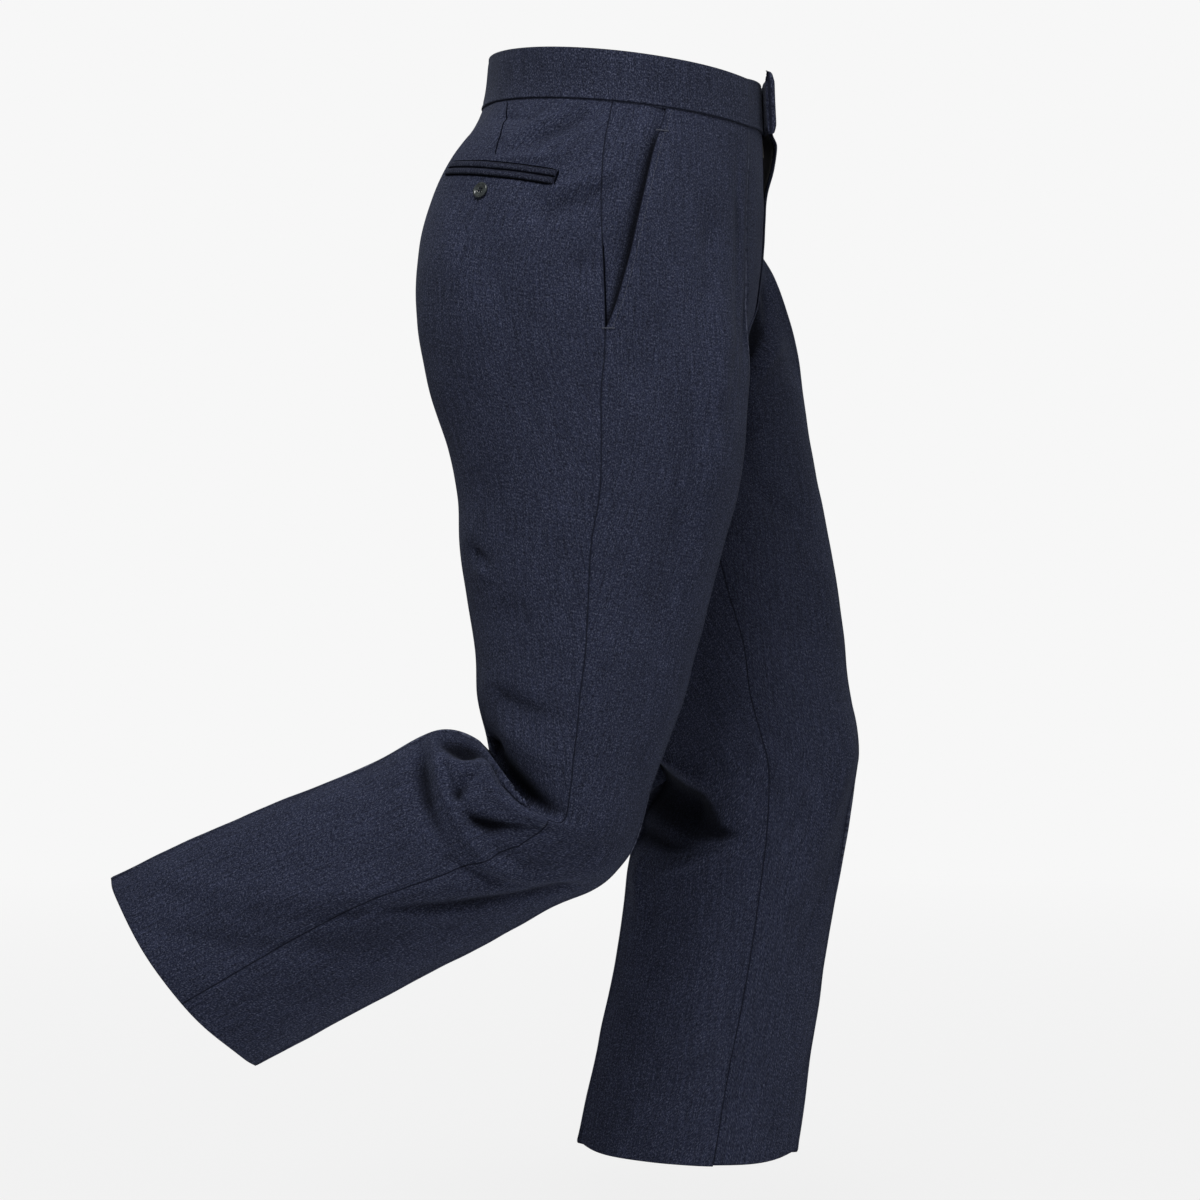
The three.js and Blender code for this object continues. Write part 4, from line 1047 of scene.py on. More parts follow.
class TrousersSettings(bpy.types.PropertyGroup):
    """Sizes and colours of the trousers."""

    cloth_wall: FloatProperty(name="Cloth", description="Thickness of a trouser panel", default=0.0014, unit="LENGTH")
    band_wall: FloatProperty(
        name="Waistband", description="Thickness of the waistband with its canvas", default=0.0032, unit="LENGTH"
    )
    band_proud: FloatProperty(
        name="Waistband stands out", description="How far the waistband stands out from the panels",
        default=0.0011, unit="LENGTH",
    )
    lining_wall: FloatProperty(
        name="Lining", description="Thickness of the fly's lining", default=0.0009, unit="LENGTH"
    )
    hem_turn: FloatProperty(
        name="Hem", description="Height of the cloth turned up at the hem", default=0.04, unit="LENGTH"
    )
    mesh_step: FloatProperty(name="Mesh step", description="Distance between mesh rows", default=0.003, unit="LENGTH")
    pocket_gape: FloatProperty(
        name="Pocket gape", description="How far the slanted pocket stands open", default=0.0034, unit="LENGTH"
    )
    crease_strength: FloatProperty(
        name="Creases", description="Depth of the wearing creases, as a share of those in the picture", default=1.0,
        min=0.0, max=2.0, subtype="FACTOR",
    )
    stitch_length: FloatProperty(name="Stitch", description="Length of one stitch", default=0.0024, unit="LENGTH")
    thread_width: FloatProperty(name="Thread", description="Width of the sewing thread", default=0.0005, unit="LENGTH")
    button_radius: FloatProperty(name="Button radius", description="Radius of a button", default=0.0076, unit="LENGTH")
    floor_height: FloatProperty(name="Floor", description="Height of the floor", default=-1.13, unit="LENGTH")
    wool: FloatVectorProperty(
        name="Wool", description="Ground colour", default=(0.030, 0.0355, 0.068), subtype="COLOR"
    )
    # Pale fibres, and made paler also the colour of the painted highlight along the crease
    fleck_and_highlight: FloatVectorProperty(
        name="Fleck", description="Pale fibres in the wool", default=(0.110, 0.122, 0.180), subtype="COLOR"
    )
    band_wool: FloatVectorProperty(
        name="Waistband wool", description="Ground colour of the waistband", default=(0.028, 0.033, 0.062),
        subtype="COLOR",
    )
    welt_wool: FloatVectorProperty(
        name="Welt wool", description="Ground colour of the welts", default=(0.026, 0.030, 0.055), subtype="COLOR"
    )
    lining: FloatVectorProperty(
        name="Lining colour", description="Colour of the lining", default=(0.010, 0.010, 0.014), subtype="COLOR"
    )
    horn: FloatVectorProperty(
        name="Button colour", description="Colour of the buttons", default=(0.044, 0.052, 0.053), subtype="COLOR"
    )
    thread: FloatVectorProperty(
        name="Thread colour", description="Colour of the stitching", default=(0.105, 0.115, 0.155), subtype="COLOR"
    )
    # The colour of the painted shadow strips in grooves and seams
    seam_dark: FloatVectorProperty(
        name="Seam shadow", description="Colour in the groove of a seam", default=(0.003, 0.0035, 0.006),
        subtype="COLOR",
    )
    metal: FloatVectorProperty(
        name="Zip metal", description="Colour of the zip", default=(0.16, 0.155, 0.15), subtype="COLOR"
    )
    floor: FloatVectorProperty(
        name="Floor colour", description="Colour of the floor", default=(0.86, 0.86, 0.86), subtype="COLOR"
    )
    backdrop: FloatVectorProperty(
        name="Backdrop", description="Colour of the space behind", default=(0.93, 0.93, 0.93), subtype="COLOR"
    )


def settings():
    return bpy.context.scene.trousers_settings


# ---------------------------------------------------------------- pieces


def fly_lift(point):
    """How far the left front stands off at the fly: a flat overlap, and a bulge where the top hangs open."""
    flat = (PANEL_WALL + 2 * SEAM) * (1 - ease(2, 16, point[..., 0]))
    overlap = flat * ease(FLY_FOOT_Z - FLY_FADE, FLY_FOOT_Z, point[..., 2])
    opened = ease(FLY_BULGE_FOOT_Z, FLY_BULGE_TOP_Z, point[..., 2]) * (1 - 0.34 * ease(-54, -42, point[..., 2]))
    return overlap + FLY_BULGE * opened * (1 - ease(0, FLY_BULGE_WIDTH, point[..., 0]))


def bare_points(side, row, angle):
    """The cloth's outer face without the finer creases."""
    return on_body(side, row, angle, creased=False)[0]


def smooth_points(side, row, angle):
    """The form without any fold, over which distances on the cloth are measured."""
    row, angle = np.broadcast_arrays(np.asarray(row, float), np.asarray(angle, float))
    past = angle < -90
    here = base_point(LEGS[side], row, np.where(past, -90, angle))
    there = base_point(LEGS[OTHER[side]], row, np.where(past, -180 - angle, -90))
    return np.where(past[..., None], there, here)


def front_start(side, rows):
    """The angle of a front's inner edge, with the left one's overlap along the fly."""
    start = -inseam_angle(rows)
    if side == "left":
        z = base_point(LEGS["left"], rows, -90)[..., 2]
        past = FLY_OVERLAP * ease(FLY_FOOT_Z, FLY_FOOT_Z + FLY_FADE, z)
        past_angle = angle_at("right", rows, -90, np.maximum(past, 1e-6)) + 90
        start = start - np.where((past > 0) & (rows < CROTCH), past_angle, 0)
    return start


def mouth_lift(rows, angles, gape):
    """How far the front lifts beside the pocket's mouth."""
    swell = np.where(rows < POCKET_FOOT, gaping(rows), 0)[:, None]
    return gape * swell * ease(0.64, 1, angles / angles[:, -1:])


def hem_thickness(points_along, turn):
    """The second layer of cloth inside the hem."""
    from_hem = points_along[-1:] - points_along
    return ease(turn + 1.2, turn, from_hem)


def front_grid(side):
    """Rows, angles, lift and rise of a front panel."""
    s = settings()
    rows = even_rows(side, WAIST_SEAM, HEM, s.mesh_step * MM)
    angles = panel_angles(side, rows, front_start(side, rows), 0, mouth_angle(side, rows), *FRONT_COLUMNS[side])
    lift = mouth_lift(rows, angles, s.pocket_gape * MM)
    rise = np.zeros(lift.shape)
    if side == "left":
        points = bare_points(side, rows[:, None], angles)
        lift = lift + fly_lift(points)
        rise = FLY_RISE * ease(-75, -42, points[..., 2]) * (1 - ease(0, FLY_BULGE_WIDTH, points[..., 0]))
    return rows, angles, lift, rise


def make_panel(side, part, rows, angles, lift, push, columns):
    """A front or back panel, with its hem turned up inside."""
    s = settings()
    wall = s.cloth_wall * MM
    along = grid_lengths(bare_points(side, rows[:, None], angles))[1]
    turned = wall * hem_thickness(along, s.hem_turn * MM)
    name = f"{side}_{part}_panel"
    mesh = cloth_wall(name, side, rows, angles, lift, wall, turned, push, crease_column(columns))
    piece = add_piece(name, mesh, finish("trouser_wool"), (f"{side}_{part}",))


def make_front(side):
    rows, angles, lift, rise = front_grid(side)
    make_panel(side, "front", rows, angles, lift, rise[..., None] * UP, FRONT_COLUMNS[side])


def make_back(side):
    rows = even_rows(side, WAIST_SEAM, HEM, settings().mesh_step * MM)
    angles = panel_angles(side, rows, side_angle(side, rows), 180, 360 - inseam_angle(rows), *BACK_COLUMNS[side])
    make_panel(side, "back", rows, angles, np.zeros(angles.shape), None, BACK_COLUMNS[side])


def make_pocket_facing(side):
    """The cloth that shows between the pocket's slanted mouth and the side seam."""
    rows = even_rows(side, WAIST_SEAM, POCKET_FOOT, 3)
    seam = side_angle(side, rows)
    mouth = mouth_angle(side, rows)
    far = angle_at(side, rows, mouth, -FACING_UNDER)
    t = np.concatenate([np.linspace(0, 0.96, 26), [0.975, 0.99, 1.0]])
    angles = far[:, None] + (seam - far)[:, None] * t
    at_mouth = bare_points(side, rows, mouth)[:, None]
    from_mouth = np.linalg.norm(bare_points(side, rows[:, None], angles) - at_mouth, axis=-1)
    outside = np.where(angles > mouth[:, None], ease(1, 15, from_mouth), 0) * (1 - ease(3.4, 4.5, rows))[:, None]
    lift = -(PANEL_WALL + CLEAR + FACING_SINK * gaping(rows)[:, None]) * (1 - outside)
    # Painted shade: full under the front's edge, fading within a few millimetres past the mouth, and none at its top
    shade = np.where(angles > mouth[:, None], np.exp(-((from_mouth / MOUTH_SHADE) ** 2)), 1.0)
    shade = shade * ease(0.02, 0.2, down_mouth(rows))[:, None]
    name = f"{side}_pocket_facing_cloth"
    mesh = cloth_wall(name, side, rows, angles, lift, settings().cloth_wall * MM, painted_shade=shade)
    piece = add_piece(name, mesh, finish("trouser_wool"), (f"{side}_pocket_facing",))


def band_angles(side):
    """How far a half of the waistband reaches past the middle, and the angles from that end round to the back."""
    reach = TAB_REACH if side == "left" else UNDERLAP
    past = float(angle_at(side, [WAIST_SEAM], -90, reach)[0]) + 90
    last = BAND_END_STEPS[-1]
    middle = np.linspace(last - past, 360 - last, 260)[1:-1]
    return past, np.concatenate([BAND_END_STEPS - past, middle, 360 - BAND_END_STEPS[::-1]])


def make_waistband(side):
    """A half of the waistband. The left one's end is the plump tab that hangs open."""
    s = settings()
    wall = s.band_wall * MM
    past, around = band_angles(side)
    last = BAND_EDGE_STEPS[-1]
    middle = np.linspace(last, BAND_HEIGHT - last, 18)[1:-1]
    drops = np.concatenate([BAND_EDGE_STEPS, middle, BAND_HEIGHT - BAND_EDGE_STEPS[::-1]])
    rows = drops / BAND_HEIGHT * BAND_FOOT
    lift = np.full((len(rows), len(around)), s.band_proud * MM)
    rise = np.zeros(lift.shape)
    plump = np.zeros(lift.shape)
    if side == "left":
        under = float(angle_at(side, [WAIST_SEAM], -90, UNDERLAP)[0]) + 90
        lift = lift + (wall + CLEAR) * (1 - ease(under + 2, under + 24, around))
        towards_end = ease(past * 0.1, past, -around)
        lift = lift + TAB_LIFT * towards_end
        rise = towards_end * mix(TAB_RISE, -TAB_SAG, rows[:, None])
        from_end = (around + past) * TAB_REACH / past
        drop = rows * BAND_HEIGHT
        round_end = np.sqrt(1 - (1 - clamp01(from_end / 5)) ** 2) * ease(TAB_PLUMP_LENGTH, 8, from_end)
        round_top = np.sqrt(1 - (1 - clamp01(np.minimum(drop, drop[-1] - drop) / TAB_ROUNDING)) ** 2)
        plump = TAB_PLUMP * round_end[None] * round_top[:, None]
        lift = lift + plump
    angles = np.broadcast_to(around - 90, lift.shape)
    along = grid_lengths(bare_points(side, rows[:, None], angles))[1]
    near_edge = np.minimum(along, along[-1:] - along)
    soft = 0.25 * np.sin(around / 9.0)[None] * np.sin(rows * 4.0)[:, None]
    pressed = 0.35 * np.exp(-(((near_edge - 5.0) / 1.6) ** 2))
    name = f"{side}_waistband_cloth"
    mesh = cloth_wall(name, side, rows, angles, lift, wall, plump, rise[..., None] * UP, extra=soft + pressed)
    piece = add_piece(name, mesh, finish("band_wool"), (f"{side}_waistband",))


def make_fly_facing():
    """The lining behind the left front's edge."""
    rows, angles, lift, rise = front_grid("left")
    keep = rows <= FLY_FOOT_ROW
    angles, lift, rise = (grid[keep, FACING_COLUMNS] for grid in (angles, lift, rise))
    lift = lift - PANEL_WALL - 2 * SEAM
    wall = settings().lining_wall * MM
    mesh = cloth_wall("fly_facing_cloth", "left", rows[keep], angles, lift, wall, push=rise[..., None] * UP)
    piece = add_piece("fly_facing_cloth", mesh, finish("fly_lining"), ("fly_facing",))


def make_fly_shield():
    """The shield behind the fly, held by the right front."""
    rows = even_rows("right", WAIST_SEAM, FLY_FOOT_ROW, 3)
    across = np.linspace(-1, 1, 24)
    angles = np.zeros((len(rows), len(across)))
    for i, share in enumerate(across):
        if share < 0:
            angles[:, i] = -180 - angle_at("left", rows, -90, -share * UNDERLAP)
        else:
            angles[:, i] = angle_at("right", rows, -90, max(0.01, share * SHIELD_HOLD))
    depth = mix(PANEL_WALL + SHIELD_GAP, PANEL_WALL + CLEAR + SHIELD_BEHIND, ease(-0.3, 0.2, -across))
    lift = -np.broadcast_to(depth, angles.shape)
    mesh = cloth_wall("fly_shield_cloth", "right", rows, angles, lift, settings().lining_wall * MM)
    piece = add_piece("fly_shield_cloth", mesh, finish("welt_wool"), ("fly_shield",))


def welt_start(side):
    """The row and the angle of the end of a hip pocket's mouth that lies nearer the side seam."""
    seam_row = row_at_drop(side, side_angle(side, 2.5), WELT_DROP)
    return seam_row, angle_at(side, seam_row, side_angle(side, seam_row), WELT_FROM_SEAM)


def welt_angles(side, count):
    """Angles along a hip pocket's mouth, and each one's share of the way."""
    seam_row, start = welt_start(side)
    end = angle_at(side, seam_row, start, WELT_LENGTH)
    t = np.linspace(0, 1, count)
    return mix(start[0], end[0], t), t


def make_welt(side, level):
    """A rounded welt, above the pocket's slot where level is -1 and below it where level is 1."""
    angle, t = welt_angles(side, 60)
    slot = WELT_SLOT / 2
    half = WELT_HEIGHT / 2
    profile = np.array([0, 0.25, 0.8, 1.6, half, 4.6, 5.4, 5.95, WELT_HEIGHT])
    outer, inner, shade = [], [], []
    for step in profile if level > 0 else profile[::-1]:
        rows = row_at_drop(side, angle, WELT_DROP - WELT_RISE * t + level * (slot + step))
        points, normals = on_body(side, rows, angle)
        crown = 0.7 + 1.7 * np.sqrt(max(0.0, 1 - ((step - half) / half) ** 2)) + 0.1 * np.sin(t * 37 + level)
        ends = np.minimum(t, 1 - t) * WELT_LENGTH
        outer.append(points + normals * (SEAM + crown * ease(-0.4, 1.2, ends))[:, None])
        inner.append(points + normals * (SEAM * 0.6))
        # Painted shade, darkest along each welt's top and foot
        shade.append(np.full(len(t), 0.9 * abs((step - half) / half) ** 3))
    outer, inner = np.array(outer), np.array(inner)
    across, along, edge = grid_lengths(outer)
    cloth = np.stack([along, across, edge + 1.2], axis=-1) / MM
    name = f"{side}_welt_{'upper' if level < 0 else 'lower'}"
    mesh = wall_mesh(f"{name}_cloth", outer, inner, cloth, np.array(shade))
    piece = add_piece(f"{name}_cloth", mesh, finish("welt_wool"), (name,))


def frame_at(side, row, angle):
    """A point on the cloth with its outward, downward and sideways directions."""
    points, normals = on_body(side, np.array([row, row + 0.05]), np.array([angle, angle]))
    out = unit(normals[0])
    down = points[1] - points[0]
    down = unit(down - out * (down @ out))
    return points[0], out, down, np.cross(down, out)


def tube_faces(base, rings, count):
    """Faces round a stack of rings, each of count points, from the point numbered base."""
    faces = []
    for k in range(rings - 1):
        low, high = base + k * count, base + (k + 1) * count
        for i in range(count):
            j = (i + 1) % count
            faces.append((low + i, low + j, high + j, high + i))
    return faces


def closed_tube(base, rings, count):
    """The same with a flat face at both ends."""
    top = base + (rings - 1) * count
    ends = [tuple(range(base + count - 1, base - 1, -1)), tuple(range(top, top + count))]
    return tube_faces(base, rings, count) + ends


def lathe(profile, count, place):
    """A turned solid: place maps (x, y, z) in millimetres to its seat."""
    profile = np.array(profile, float)
    around = np.linspace(0, 2 * np.pi, count, endpoint=False)
    rings = [
        np.stack([r * np.cos(around), r * np.sin(around), np.full(count, h)], axis=-1) for r, h in profile if r > 0
    ]
    points = np.concatenate(rings + [[(0, 0, profile[0][1])], [(0, 0, profile[-1][1])]])
    faces = tube_faces(0, len(rings), count)
    bottom, top = len(points) - 2, len(points) - 1
    last = (len(rings) - 1) * count
    for i in range(count):
        j = (i + 1) % count
        faces.append((bottom, j, i))
        faces.append((top, last + i, last + j))
    return place(points), faces


def make_button(side):
    """A turned button with a raised rim, its holes and its thread."""
    r = settings().button_radius * MM
    seam_row, start = welt_start(side)
    angle = angle_at(side, seam_row, start, WELT_LENGTH / 2)[0]
    row = row_at_drop(side, angle, WELT_DROP + BUTTON_DROP)[0]
    centre, out, down, across = frame_at(side, row, angle)

    def place(p):
        return centre + p[:, :1] * across + p[:, 1:2] * down + (p[:, 2:] + BUTTON_LIFT) * out

    profile = [(0, 0), (r - 1.6, 0), (r - 0.6, 0.35), (r, 1.0), (r, 1.9), (r - 0.25, 2.45), (r - 0.8, 2.75),
               (r - 1.5, 2.75), (r - 2.1, 2.4), (r - 2.6, 2.0), (r - 3.4, BUTTON_FACE), (0.6, BUTTON_FACE),
               (0, BUTTON_FACE)]
    name = f"{side}_horn_button"
    mesh = plain_mesh(name, *lathe(profile, BUTTON_SIDES, place))
    piece = add_piece(name, mesh, finish("button_horn"), (f"{side}_button",))
    drill_button(piece, centre, out, down, across)
    sew_button(side, centre, out, down, across)


def hole_places(across, down):
    """From the button's middle to each of its four sewing holes."""
    turns = (np.arange(4) + 0.5) * np.pi / 2
    return [HOLE_REACH * (np.cos(turn) * across + np.sin(turn) * down) for turn in turns]


def drill_button(piece, centre, out, down, across):
    """Four sewing holes."""
    ring = np.linspace(0, 2 * np.pi, HOLE_SIDES, endpoint=False)
    cutters = []
    for hole in hole_places(across, down):
        at = centre + hole
        points = [
            at + HOLE_RADIUS * (np.cos(a) * across + np.sin(a) * down) + height * out
            for height in HOLE_ENDS for a in ring
        ]
        mesh = plain_mesh("hole", points, closed_tube(0, 2, HOLE_SIDES), smooth=False)
        cutters.append(place_in_scene("hole", mesh))
    for cutter in cutters:
        cut = piece.modifiers.new("hole", "BOOLEAN")
        cut.object = cutter
        cut.operation = "DIFFERENCE"
        cut.solver = "EXACT"
    graph = bpy.context.evaluated_depsgraph_get()
    finished = bpy.data.meshes.new_from_object(piece.evaluated_get(graph))
    piece.modifiers.clear()
    piece.data = finished
    for cutter in cutters:
        bpy.data.objects.remove(cutter)


def stitches_mesh(name, starts, ends, normals, width, height):
    """Each stitch is a short plump thread that dips into the cloth at both ends."""
    points = []
    faces = []
    ring = np.linspace(0, 2 * np.pi, STITCH_SIDES, endpoint=False)
    for a, b, n in zip(starts, ends, normals):
        middle = (a + b) / 2
        way = b - a
        side = unit(np.cross(n, way))
        faces += closed_tube(len(points), len(STITCH_PROFILE), STITCH_SIDES)
        for t, size, rise in STITCH_PROFILE:
            for q in ring:
                offset = side * np.cos(q) * width / 2 * size + n * (np.sin(q) * height / 2 * size + rise * height)
                points.append(middle + way * t + offset)
    return plain_mesh(name, points, faces)


def sew_button(side, centre, out, down, across):
    """Two pairs of threads side by side through the four holes."""
    holes = hole_places(across, down)
    starts, ends = [], []
    for first, second in ((0, 1), (2, 3)):
        for shift in (-THREAD_ASIDE, THREAD_ASIDE):
            aside = unit(np.cross(holes[second] - holes[first], out)) * shift
            lift = out * (BUTTON_LIFT + BUTTON_FACE)
            starts.append(centre + holes[first] + aside + lift)
            ends.append(centre + holes[second] + aside + lift)
    name = f"{side}_button_thread"
    mesh = stitches_mesh(name, starts, ends, [out] * len(starts), *BUTTON_THREAD)
    add_piece(name, mesh, finish("button_thread"))


def run_of_stitches(points, normals, gap, length):
    """Starts and ends of stitches along a line of points, a gap apart."""
    lengths = run_lengths(points, 0)
    at = np.arange(0, lengths[-1] - length, length + gap)

    def along(values, where):
        return np.stack([np.interp(where, lengths, values[:, k]) for k in range(3)], axis=-1)

    return along(points, at), along(points, at + length), unit(along(normals, at + length / 2))


def mouth_line(side, inset, low, high):
    """Points on the front's face beside the pocket's mouth, inset from its edge."""
    rows = np.linspace(low, high, 220)
    mouth = mouth_angle(side, rows)
    angles = angle_at(side, rows, mouth, -inset)
    points, normals = on_body(side, rows, angles)
    lift = settings().pocket_gape * MM * gaping(rows) * ease(0.64, 1, angles / mouth)
    return points + normals * lift[:, None], normals


def make_pocket_stitching(side):
    """A row of stitches along the slanted mouth, with a bar tack at both ends."""
    s = settings()
    points, normals = mouth_line(side, STITCH_INSET, WAIST_SEAM + 0.02, POCKET_FOOT - 0.02)
    starts, ends, ups = (list(v) for v in run_of_stitches(points, normals, STITCH_GAP, s.stitch_length * MM))
    for row in TACK_AT_ROWS:
        mouth = float(mouth_angle(side, np.array([row]))[0])
        for aside in np.arange(-TACK_INSIDE, TACK_OUTSIDE, TACK_SPACING):
            angle = float(angle_at(side, [row], mouth, aside)[0])
            pair, up = on_body(side, np.array([row - TACK_ROWS, row + TACK_ROWS]), np.array([angle, angle]))
            lift = s.pocket_gape * MM * gaping(row) * ease(3, 0, aside) + TACK_HEIGHT
            starts.append(pair[0] + up[0] * lift)
            ends.append(pair[1] + up[1] * lift)
            ups.append(unit(up[0] + up[1]))
    name = f"{side}_pocket_stitching"
    mesh = stitches_mesh(name, starts, ends, ups, s.thread_width * MM, s.thread_width * (THREAD_FLATNESS * MM))
    add_piece(name, mesh, finish("sewing_thread"))


def ribbon_mesh(name, points, normals, width, lift):
    """A narrow strip along a line of points, tapered at both ends."""
    way = np.gradient(points, axis=0)
    side = unit(np.cross(normals, way))
    taper = np.minimum(1, np.minimum(np.arange(len(points)), np.arange(len(points))[::-1]) / 4)[:, None]
    top = points + normals * lift
    left, right = top - side * width / 2 * taper, top + side * width / 2 * taper
    outer = np.stack([left, top + normals * LINE_CROWN, right], axis=0)
    return wall_mesh(name, outer, outer - normals * LINE_BODY, np.zeros(outer.shape))


def add_dark_line(name, side, rows, angles, width, lift):
    """A painted shadow strip for a groove, laid along rows and angles of a leg."""
    points, normals = on_body(side, rows, angles)
    add_piece(name, ribbon_mesh(name, points, normals, width, lift), finish("seam_shadow"))


def make_welt_shadow(side):
    """Painted shadow: the dark slot between the welts, the line that each makes with the panel, and the line across
    the welts' end nearer the side seam.
    """
    angle, t = welt_angles(side, 70)
    reach = WELT_SLOT / 2 + WELT_HEIGHT
    beyond = reach + 0.5
    for name, level, line in (("slot", 0, SLOT_LINE), ("top", -beyond, WELT_LINE), ("foot", beyond, WELT_LINE)):
        rows = row_at_drop(side, angle, WELT_DROP - WELT_RISE * t + level)
        add_dark_line(f"{side}_welt_{name}_line", side, rows, angle, *line)
    drops = WELT_DROP + np.linspace(-reach - 0.6, reach + 0.6, 24)
    across = np.full(len(drops), angle[0])
    add_dark_line(f"{side}_welt_end_line", side, row_at_drop(side, across, drops), across - 0.6, *WELT_LINE)


def make_leg_seam_shadows(side):
    """Painted shadow: a dark strip deep in the side seam and in the inseam of one leg, where the cut edges meet."""
    rows = np.linspace(WAIST_SEAM, HEM - 0.02, 320)
    add_dark_line(f"{side}_side_seam_shadow", side, rows, side_angle(side, rows), *SEAM_STRIP)
    rows = np.linspace(CROTCH, HEM - 0.02, 260)
    add_dark_line(f"{side}_inseam_shadow", side, rows, -inseam_angle(rows), *SEAM_STRIP)


def make_middle_seam_shadows():
    """The same painted shadow strip down the middle: behind, through the waistband, and in front below the fly."""
    for name, low, high, count, angle in (
        ("back_rise_seam_shadow", WAIST_SEAM, CROTCH, 90, 270.0),
        ("waistband_back_seam_shadow", 0.02, 0.98, 16, 270.0),
        ("front_rise_seam_shadow", FLY_FOOT_ROW - 0.6, CROTCH, 60, -90.0),
    ):
        add_dark_line(name, "right", np.linspace(low, high, count), angle, *SEAM_STRIP)


def make_dart_shadow(side):
    """The painted shadow line of the back dart, from the waist seam down to the welt."""
    rows = np.linspace(DART_ROWS[0], DART_ROWS[-1], 60)
    add_dark_line(f"{side}_back_dart_shadow", side, rows, np.interp(rows, DART_ROWS, DART_ANGLES), *DART_LINE)


def box_mesh(name, parts):
    """Small blocks with chamfered edges, each from a centre and three half-size directions."""
    corners = ((-1, -0.6), (-0.6, -1), (0.6, -1), (1, -0.6), (1, 0.6), (0.6, 1), (-0.6, 1), (-1, 0.6))
    levels = ((-1, 0.8), (-0.7, 1), (0.7, 1), (1, 0.8))
    points, faces = [], []
    for centre, x, y, z in parts:
        faces += closed_tube(len(points), len(levels), len(corners))
        for level, size in levels:
            points += [centre + x * sx * size + y * sy * size + z * level for sx, sy in corners]
    return plain_mesh(name, points, faces, smooth=False)


def zip_frame(row, across):
    """A place on the shield's face, with outward, down and sideways directions."""
    if across >= 0:
        angle = -180 - float(angle_at("left", [row], -90, max(across, 1e-4))[0])
    else:
        angle = float(angle_at("right", [row], -90, -across)[0])
    centre, out, down, _ = frame_at("right", row, angle)
    return centre - out * ZIP_DEPTH, out, down, np.cross(down, out)


def make_zip():
    """Interlocked teeth and slider behind the left front's edge."""
    teeth = []
    for i, row in enumerate(np.linspace(*TEETH_ROWS, TEETH)):
        centre, out, down, aside = zip_frame(row, ZIP_PAST_MIDDLE + (TEETH_STAGGER if i % 2 else -TEETH_STAGGER))
        teeth.append((centre + out * 0.9, aside * 1.5, down * 0.55, out * 0.75))
    centre, out, down, aside = zip_frame(SLIDER_ROW, ZIP_PAST_MIDDLE)
    pull_down = unit(down + out * 0.03)
    slider = [
        (centre + out * 1.2, aside * 3.6, down * 4.0, out * 1.0),
        (centre + out * 2.6, aside * 1.2, down * 2.2, out * 0.7),
        (centre + out * 3.0 + pull_down * 7.5, aside * 2.2, pull_down * 6.5, out * 0.4),
    ]
    for name, parts in (("zip_teeth", teeth), ("zip_slider", slider)):
        add_piece(name, box_mesh(name, parts), finish("zip_metal"))


def make_stage():
    """The camera, the pale floor and the light."""
    s = settings()
    scene = bpy.context.scene
    scene.view_settings.view_transform = "Standard"
    scene.view_settings.look = "None"
    camera = bpy.data.cameras.new("camera")
    camera.lens = CAMERA_FOCAL
    camera.sensor_width = CAMERA_SENSOR
    camera.sensor_fit = "HORIZONTAL"
    eye = place_in_scene("camera", camera, CAMERA_PLACE)
    eye.rotation_euler = (np.pi / 2, 0, -np.pi / 2)
    scene.camera = eye
    ring = np.linspace(0, 2 * np.pi, FLOOR_SIDES, endpoint=False)
    points = [(FLOOR_RADIUS * np.cos(a), FLOOR_RADIUS * np.sin(a), 0) for a in ring]
    mesh = bpy.data.meshes.new("floor")
    mesh.from_pydata(points, [], [tuple(range(FLOOR_SIDES))])
    floor = place_in_scene("floor", mesh, (0, 0, s.floor_height))
    mesh.materials.append(floor_material("pale_floor", s.floor, s.backdrop))
    world = bpy.data.worlds.new("studio")
    scene.world = world
    world.use_nodes = True
    nodes, links = world.node_tree.nodes, world.node_tree.links
    seen = nodes["Background"]
    seen.inputs["Color"].default_value = colour4(s.backdrop)
    glow = nodes.new("ShaderNodeBackground")
    glow.inputs["Color"].default_value = colour4(s.backdrop)
    glow.inputs["Strength"].default_value = SOFT_LIGHT
    path = nodes.new("ShaderNodeLightPath")
    blend = nodes.new("ShaderNodeMixShader")
    links.new(path.outputs["Is Camera Ray"], blend.inputs[0])
    links.new(glow.outputs[0], blend.inputs[1])
    links.new(seen.outputs[0], blend.inputs[2])
    links.new(blend.outputs[0], nodes["World Output"].inputs["Surface"])
    for name, place, size, power in LAMPS:
        light = bpy.data.lights.new(name, "AREA")
        light.energy = power
        light.size = size
        lamp = place_in_scene(name, light, place)
        aim = LAMP_AIM - np.array(place)
        yaw = np.arctan2(aim[1], aim[0]) - np.pi / 2
        tilt = np.pi / 2 - np.arctan2(-aim[2], np.hypot(aim[0], aim[1]))
        lamp.rotation_euler = (tilt, 0, yaw)


# ---------------------------------------------------------------- operators


class TROUSERS_OT_fronts(bpy.types.Operator):
    """Make both front panels, pressed, creased and with the fly's overlap"""

    bl_idname = "trousers.fronts"
    bl_label = "Front panels"

    def execute(self, context):
        make_front("right")
        make_front("left")
        return {"FINISHED"}


class TROUSERS_OT_backs(bpy.types.Operator):
    """Make both back panels, with painted shadow lines along their darts and along the seams of the legs and the
    middle
    """

    bl_idname = "trousers.backs"
    bl_label = "Back panels"

    def execute(self, context):
        for side in ("right", "left"):
            make_back(side)
            make_dart_shadow(side)
            make_leg_seam_shadows(side)
        make_middle_seam_shadows()
        return {"FINISHED"}


class TROUSERS_OT_side_pockets(bpy.types.Operator):
    """Make the slanted pockets' facings and stitching"""

    bl_idname = "trousers.side_pockets"
    bl_label = "Side pockets"

    def execute(self, context):
        for side in ("right", "left"):
            make_pocket_facing(side)
            make_pocket_stitching(side)
        return {"FINISHED"}


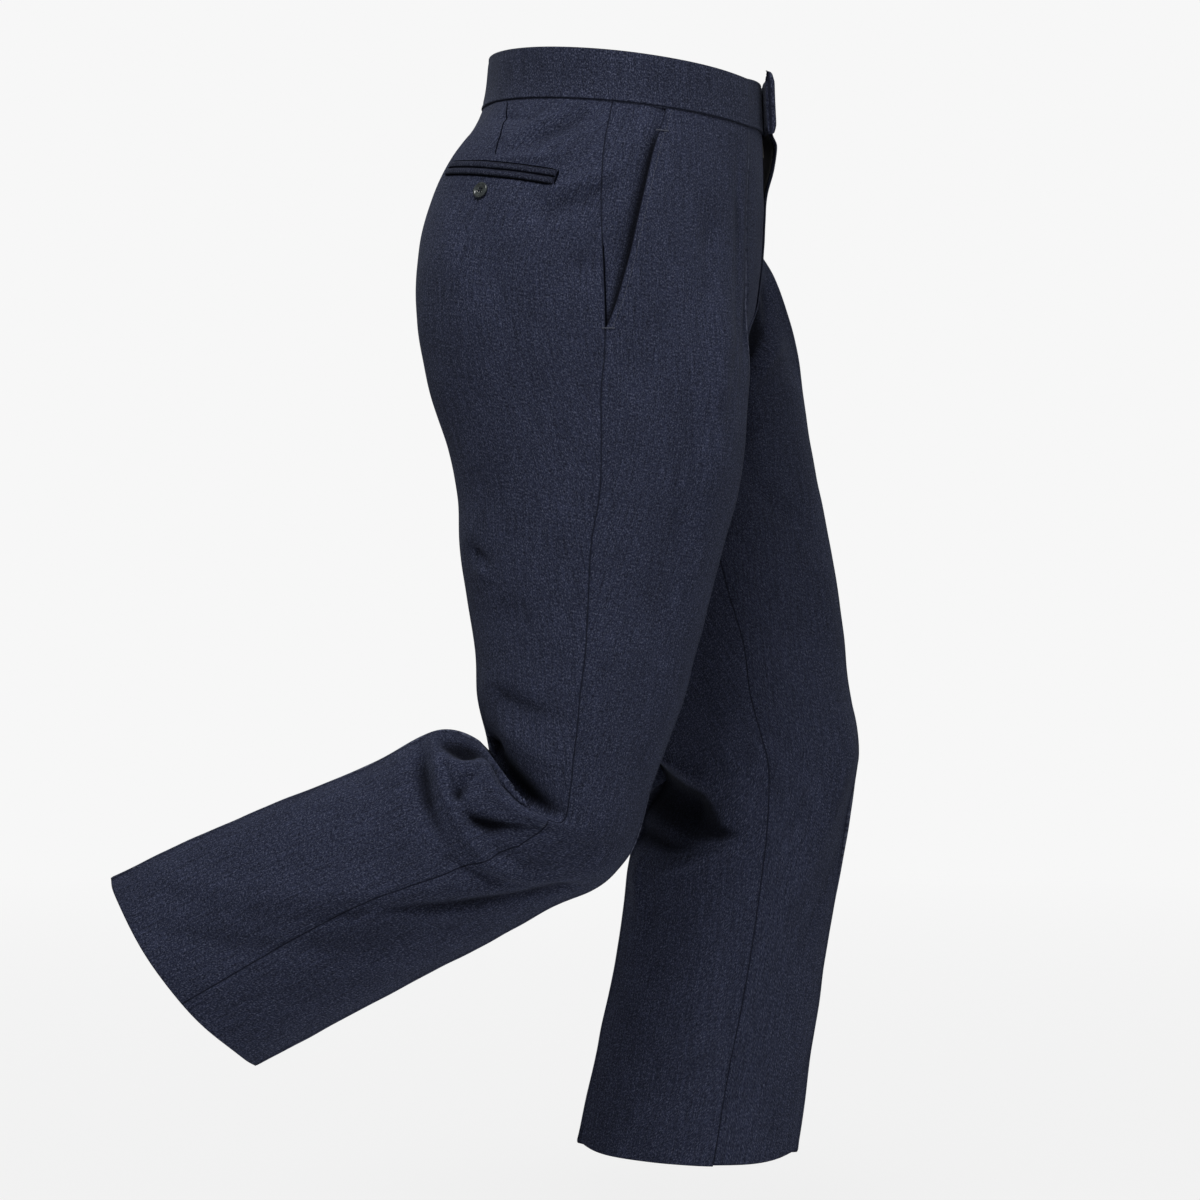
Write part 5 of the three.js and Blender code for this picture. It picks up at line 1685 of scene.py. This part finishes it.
class TROUSERS_OT_hip_pockets(bpy.types.Operator):
    """Make the hip pockets' welts and sewn buttons"""

    bl_idname = "trousers.hip_pockets"
    bl_label = "Hip pockets"

    def execute(self, context):
        for side in ("right", "left"):
            make_welt(side, -1)
            make_welt(side, 1)
            make_welt_shadow(side)
            make_button(side)
        return {"FINISHED"}


class TROUSERS_OT_waistband(bpy.types.Operator):
    """Make both halves of the waistband with the tab"""

    bl_idname = "trousers.waistband"
    bl_label = "Waistband"

    def execute(self, context):
        make_waistband("right")
        make_waistband("left")
        return {"FINISHED"}


class TROUSERS_OT_fly(bpy.types.Operator):
    """Make the fly's facing, shield and zip"""

    bl_idname = "trousers.fly"
    bl_label = "Fly"

    def execute(self, context):
        make_fly_facing()
        make_fly_shield()
        make_zip()
        return {"FINISHED"}


class TROUSERS_OT_stage(bpy.types.Operator):
    """Set up the floor, lights and camera"""

    bl_idname = "trousers.stage"
    bl_label = "Stage"

    def execute(self, context):
        make_stage()
        return {"FINISHED"}


PIECE_OPERATORS = (
    TROUSERS_OT_stage,
    TROUSERS_OT_fronts,
    TROUSERS_OT_backs,
    TROUSERS_OT_side_pockets,
    TROUSERS_OT_hip_pockets,
    TROUSERS_OT_waistband,
    TROUSERS_OT_fly,
)


class TROUSERS_PT_panel(bpy.types.Panel):
    """Buttons for the pieces, and their sizes and colours"""

    bl_idname = "TROUSERS_PT_panel"
    bl_label = "Dress trousers"
    bl_space_type = "VIEW_3D"
    bl_region_type = "UI"
    bl_category = "Trousers"

    def draw(self, context):
        for operator in PIECE_OPERATORS:
            self.layout.operator(operator.bl_idname)
        chosen = context.scene.trousers_settings
        for name in TrousersSettings.__annotations__:
            self.layout.prop(chosen, name)


CLASSES = (TrousersSettings, *PIECE_OPERATORS, TROUSERS_PT_panel)


def register():
    for cls in CLASSES:
        bpy.utils.register_class(cls)
    bpy.types.Scene.trousers_settings = PointerProperty(type=TrousersSettings)


def unregister():
    del bpy.types.Scene.trousers_settings
    for cls in reversed(CLASSES):
        bpy.utils.unregister_class(cls)


def main():
    register()
    bpy.ops.trousers.stage()
    bpy.ops.trousers.fronts()
    bpy.ops.trousers.backs()
    bpy.ops.trousers.side_pockets()
    bpy.ops.trousers.hip_pockets()
    bpy.ops.trousers.waistband()
    bpy.ops.trousers.fly()


if __name__ == "__main__":
    main()
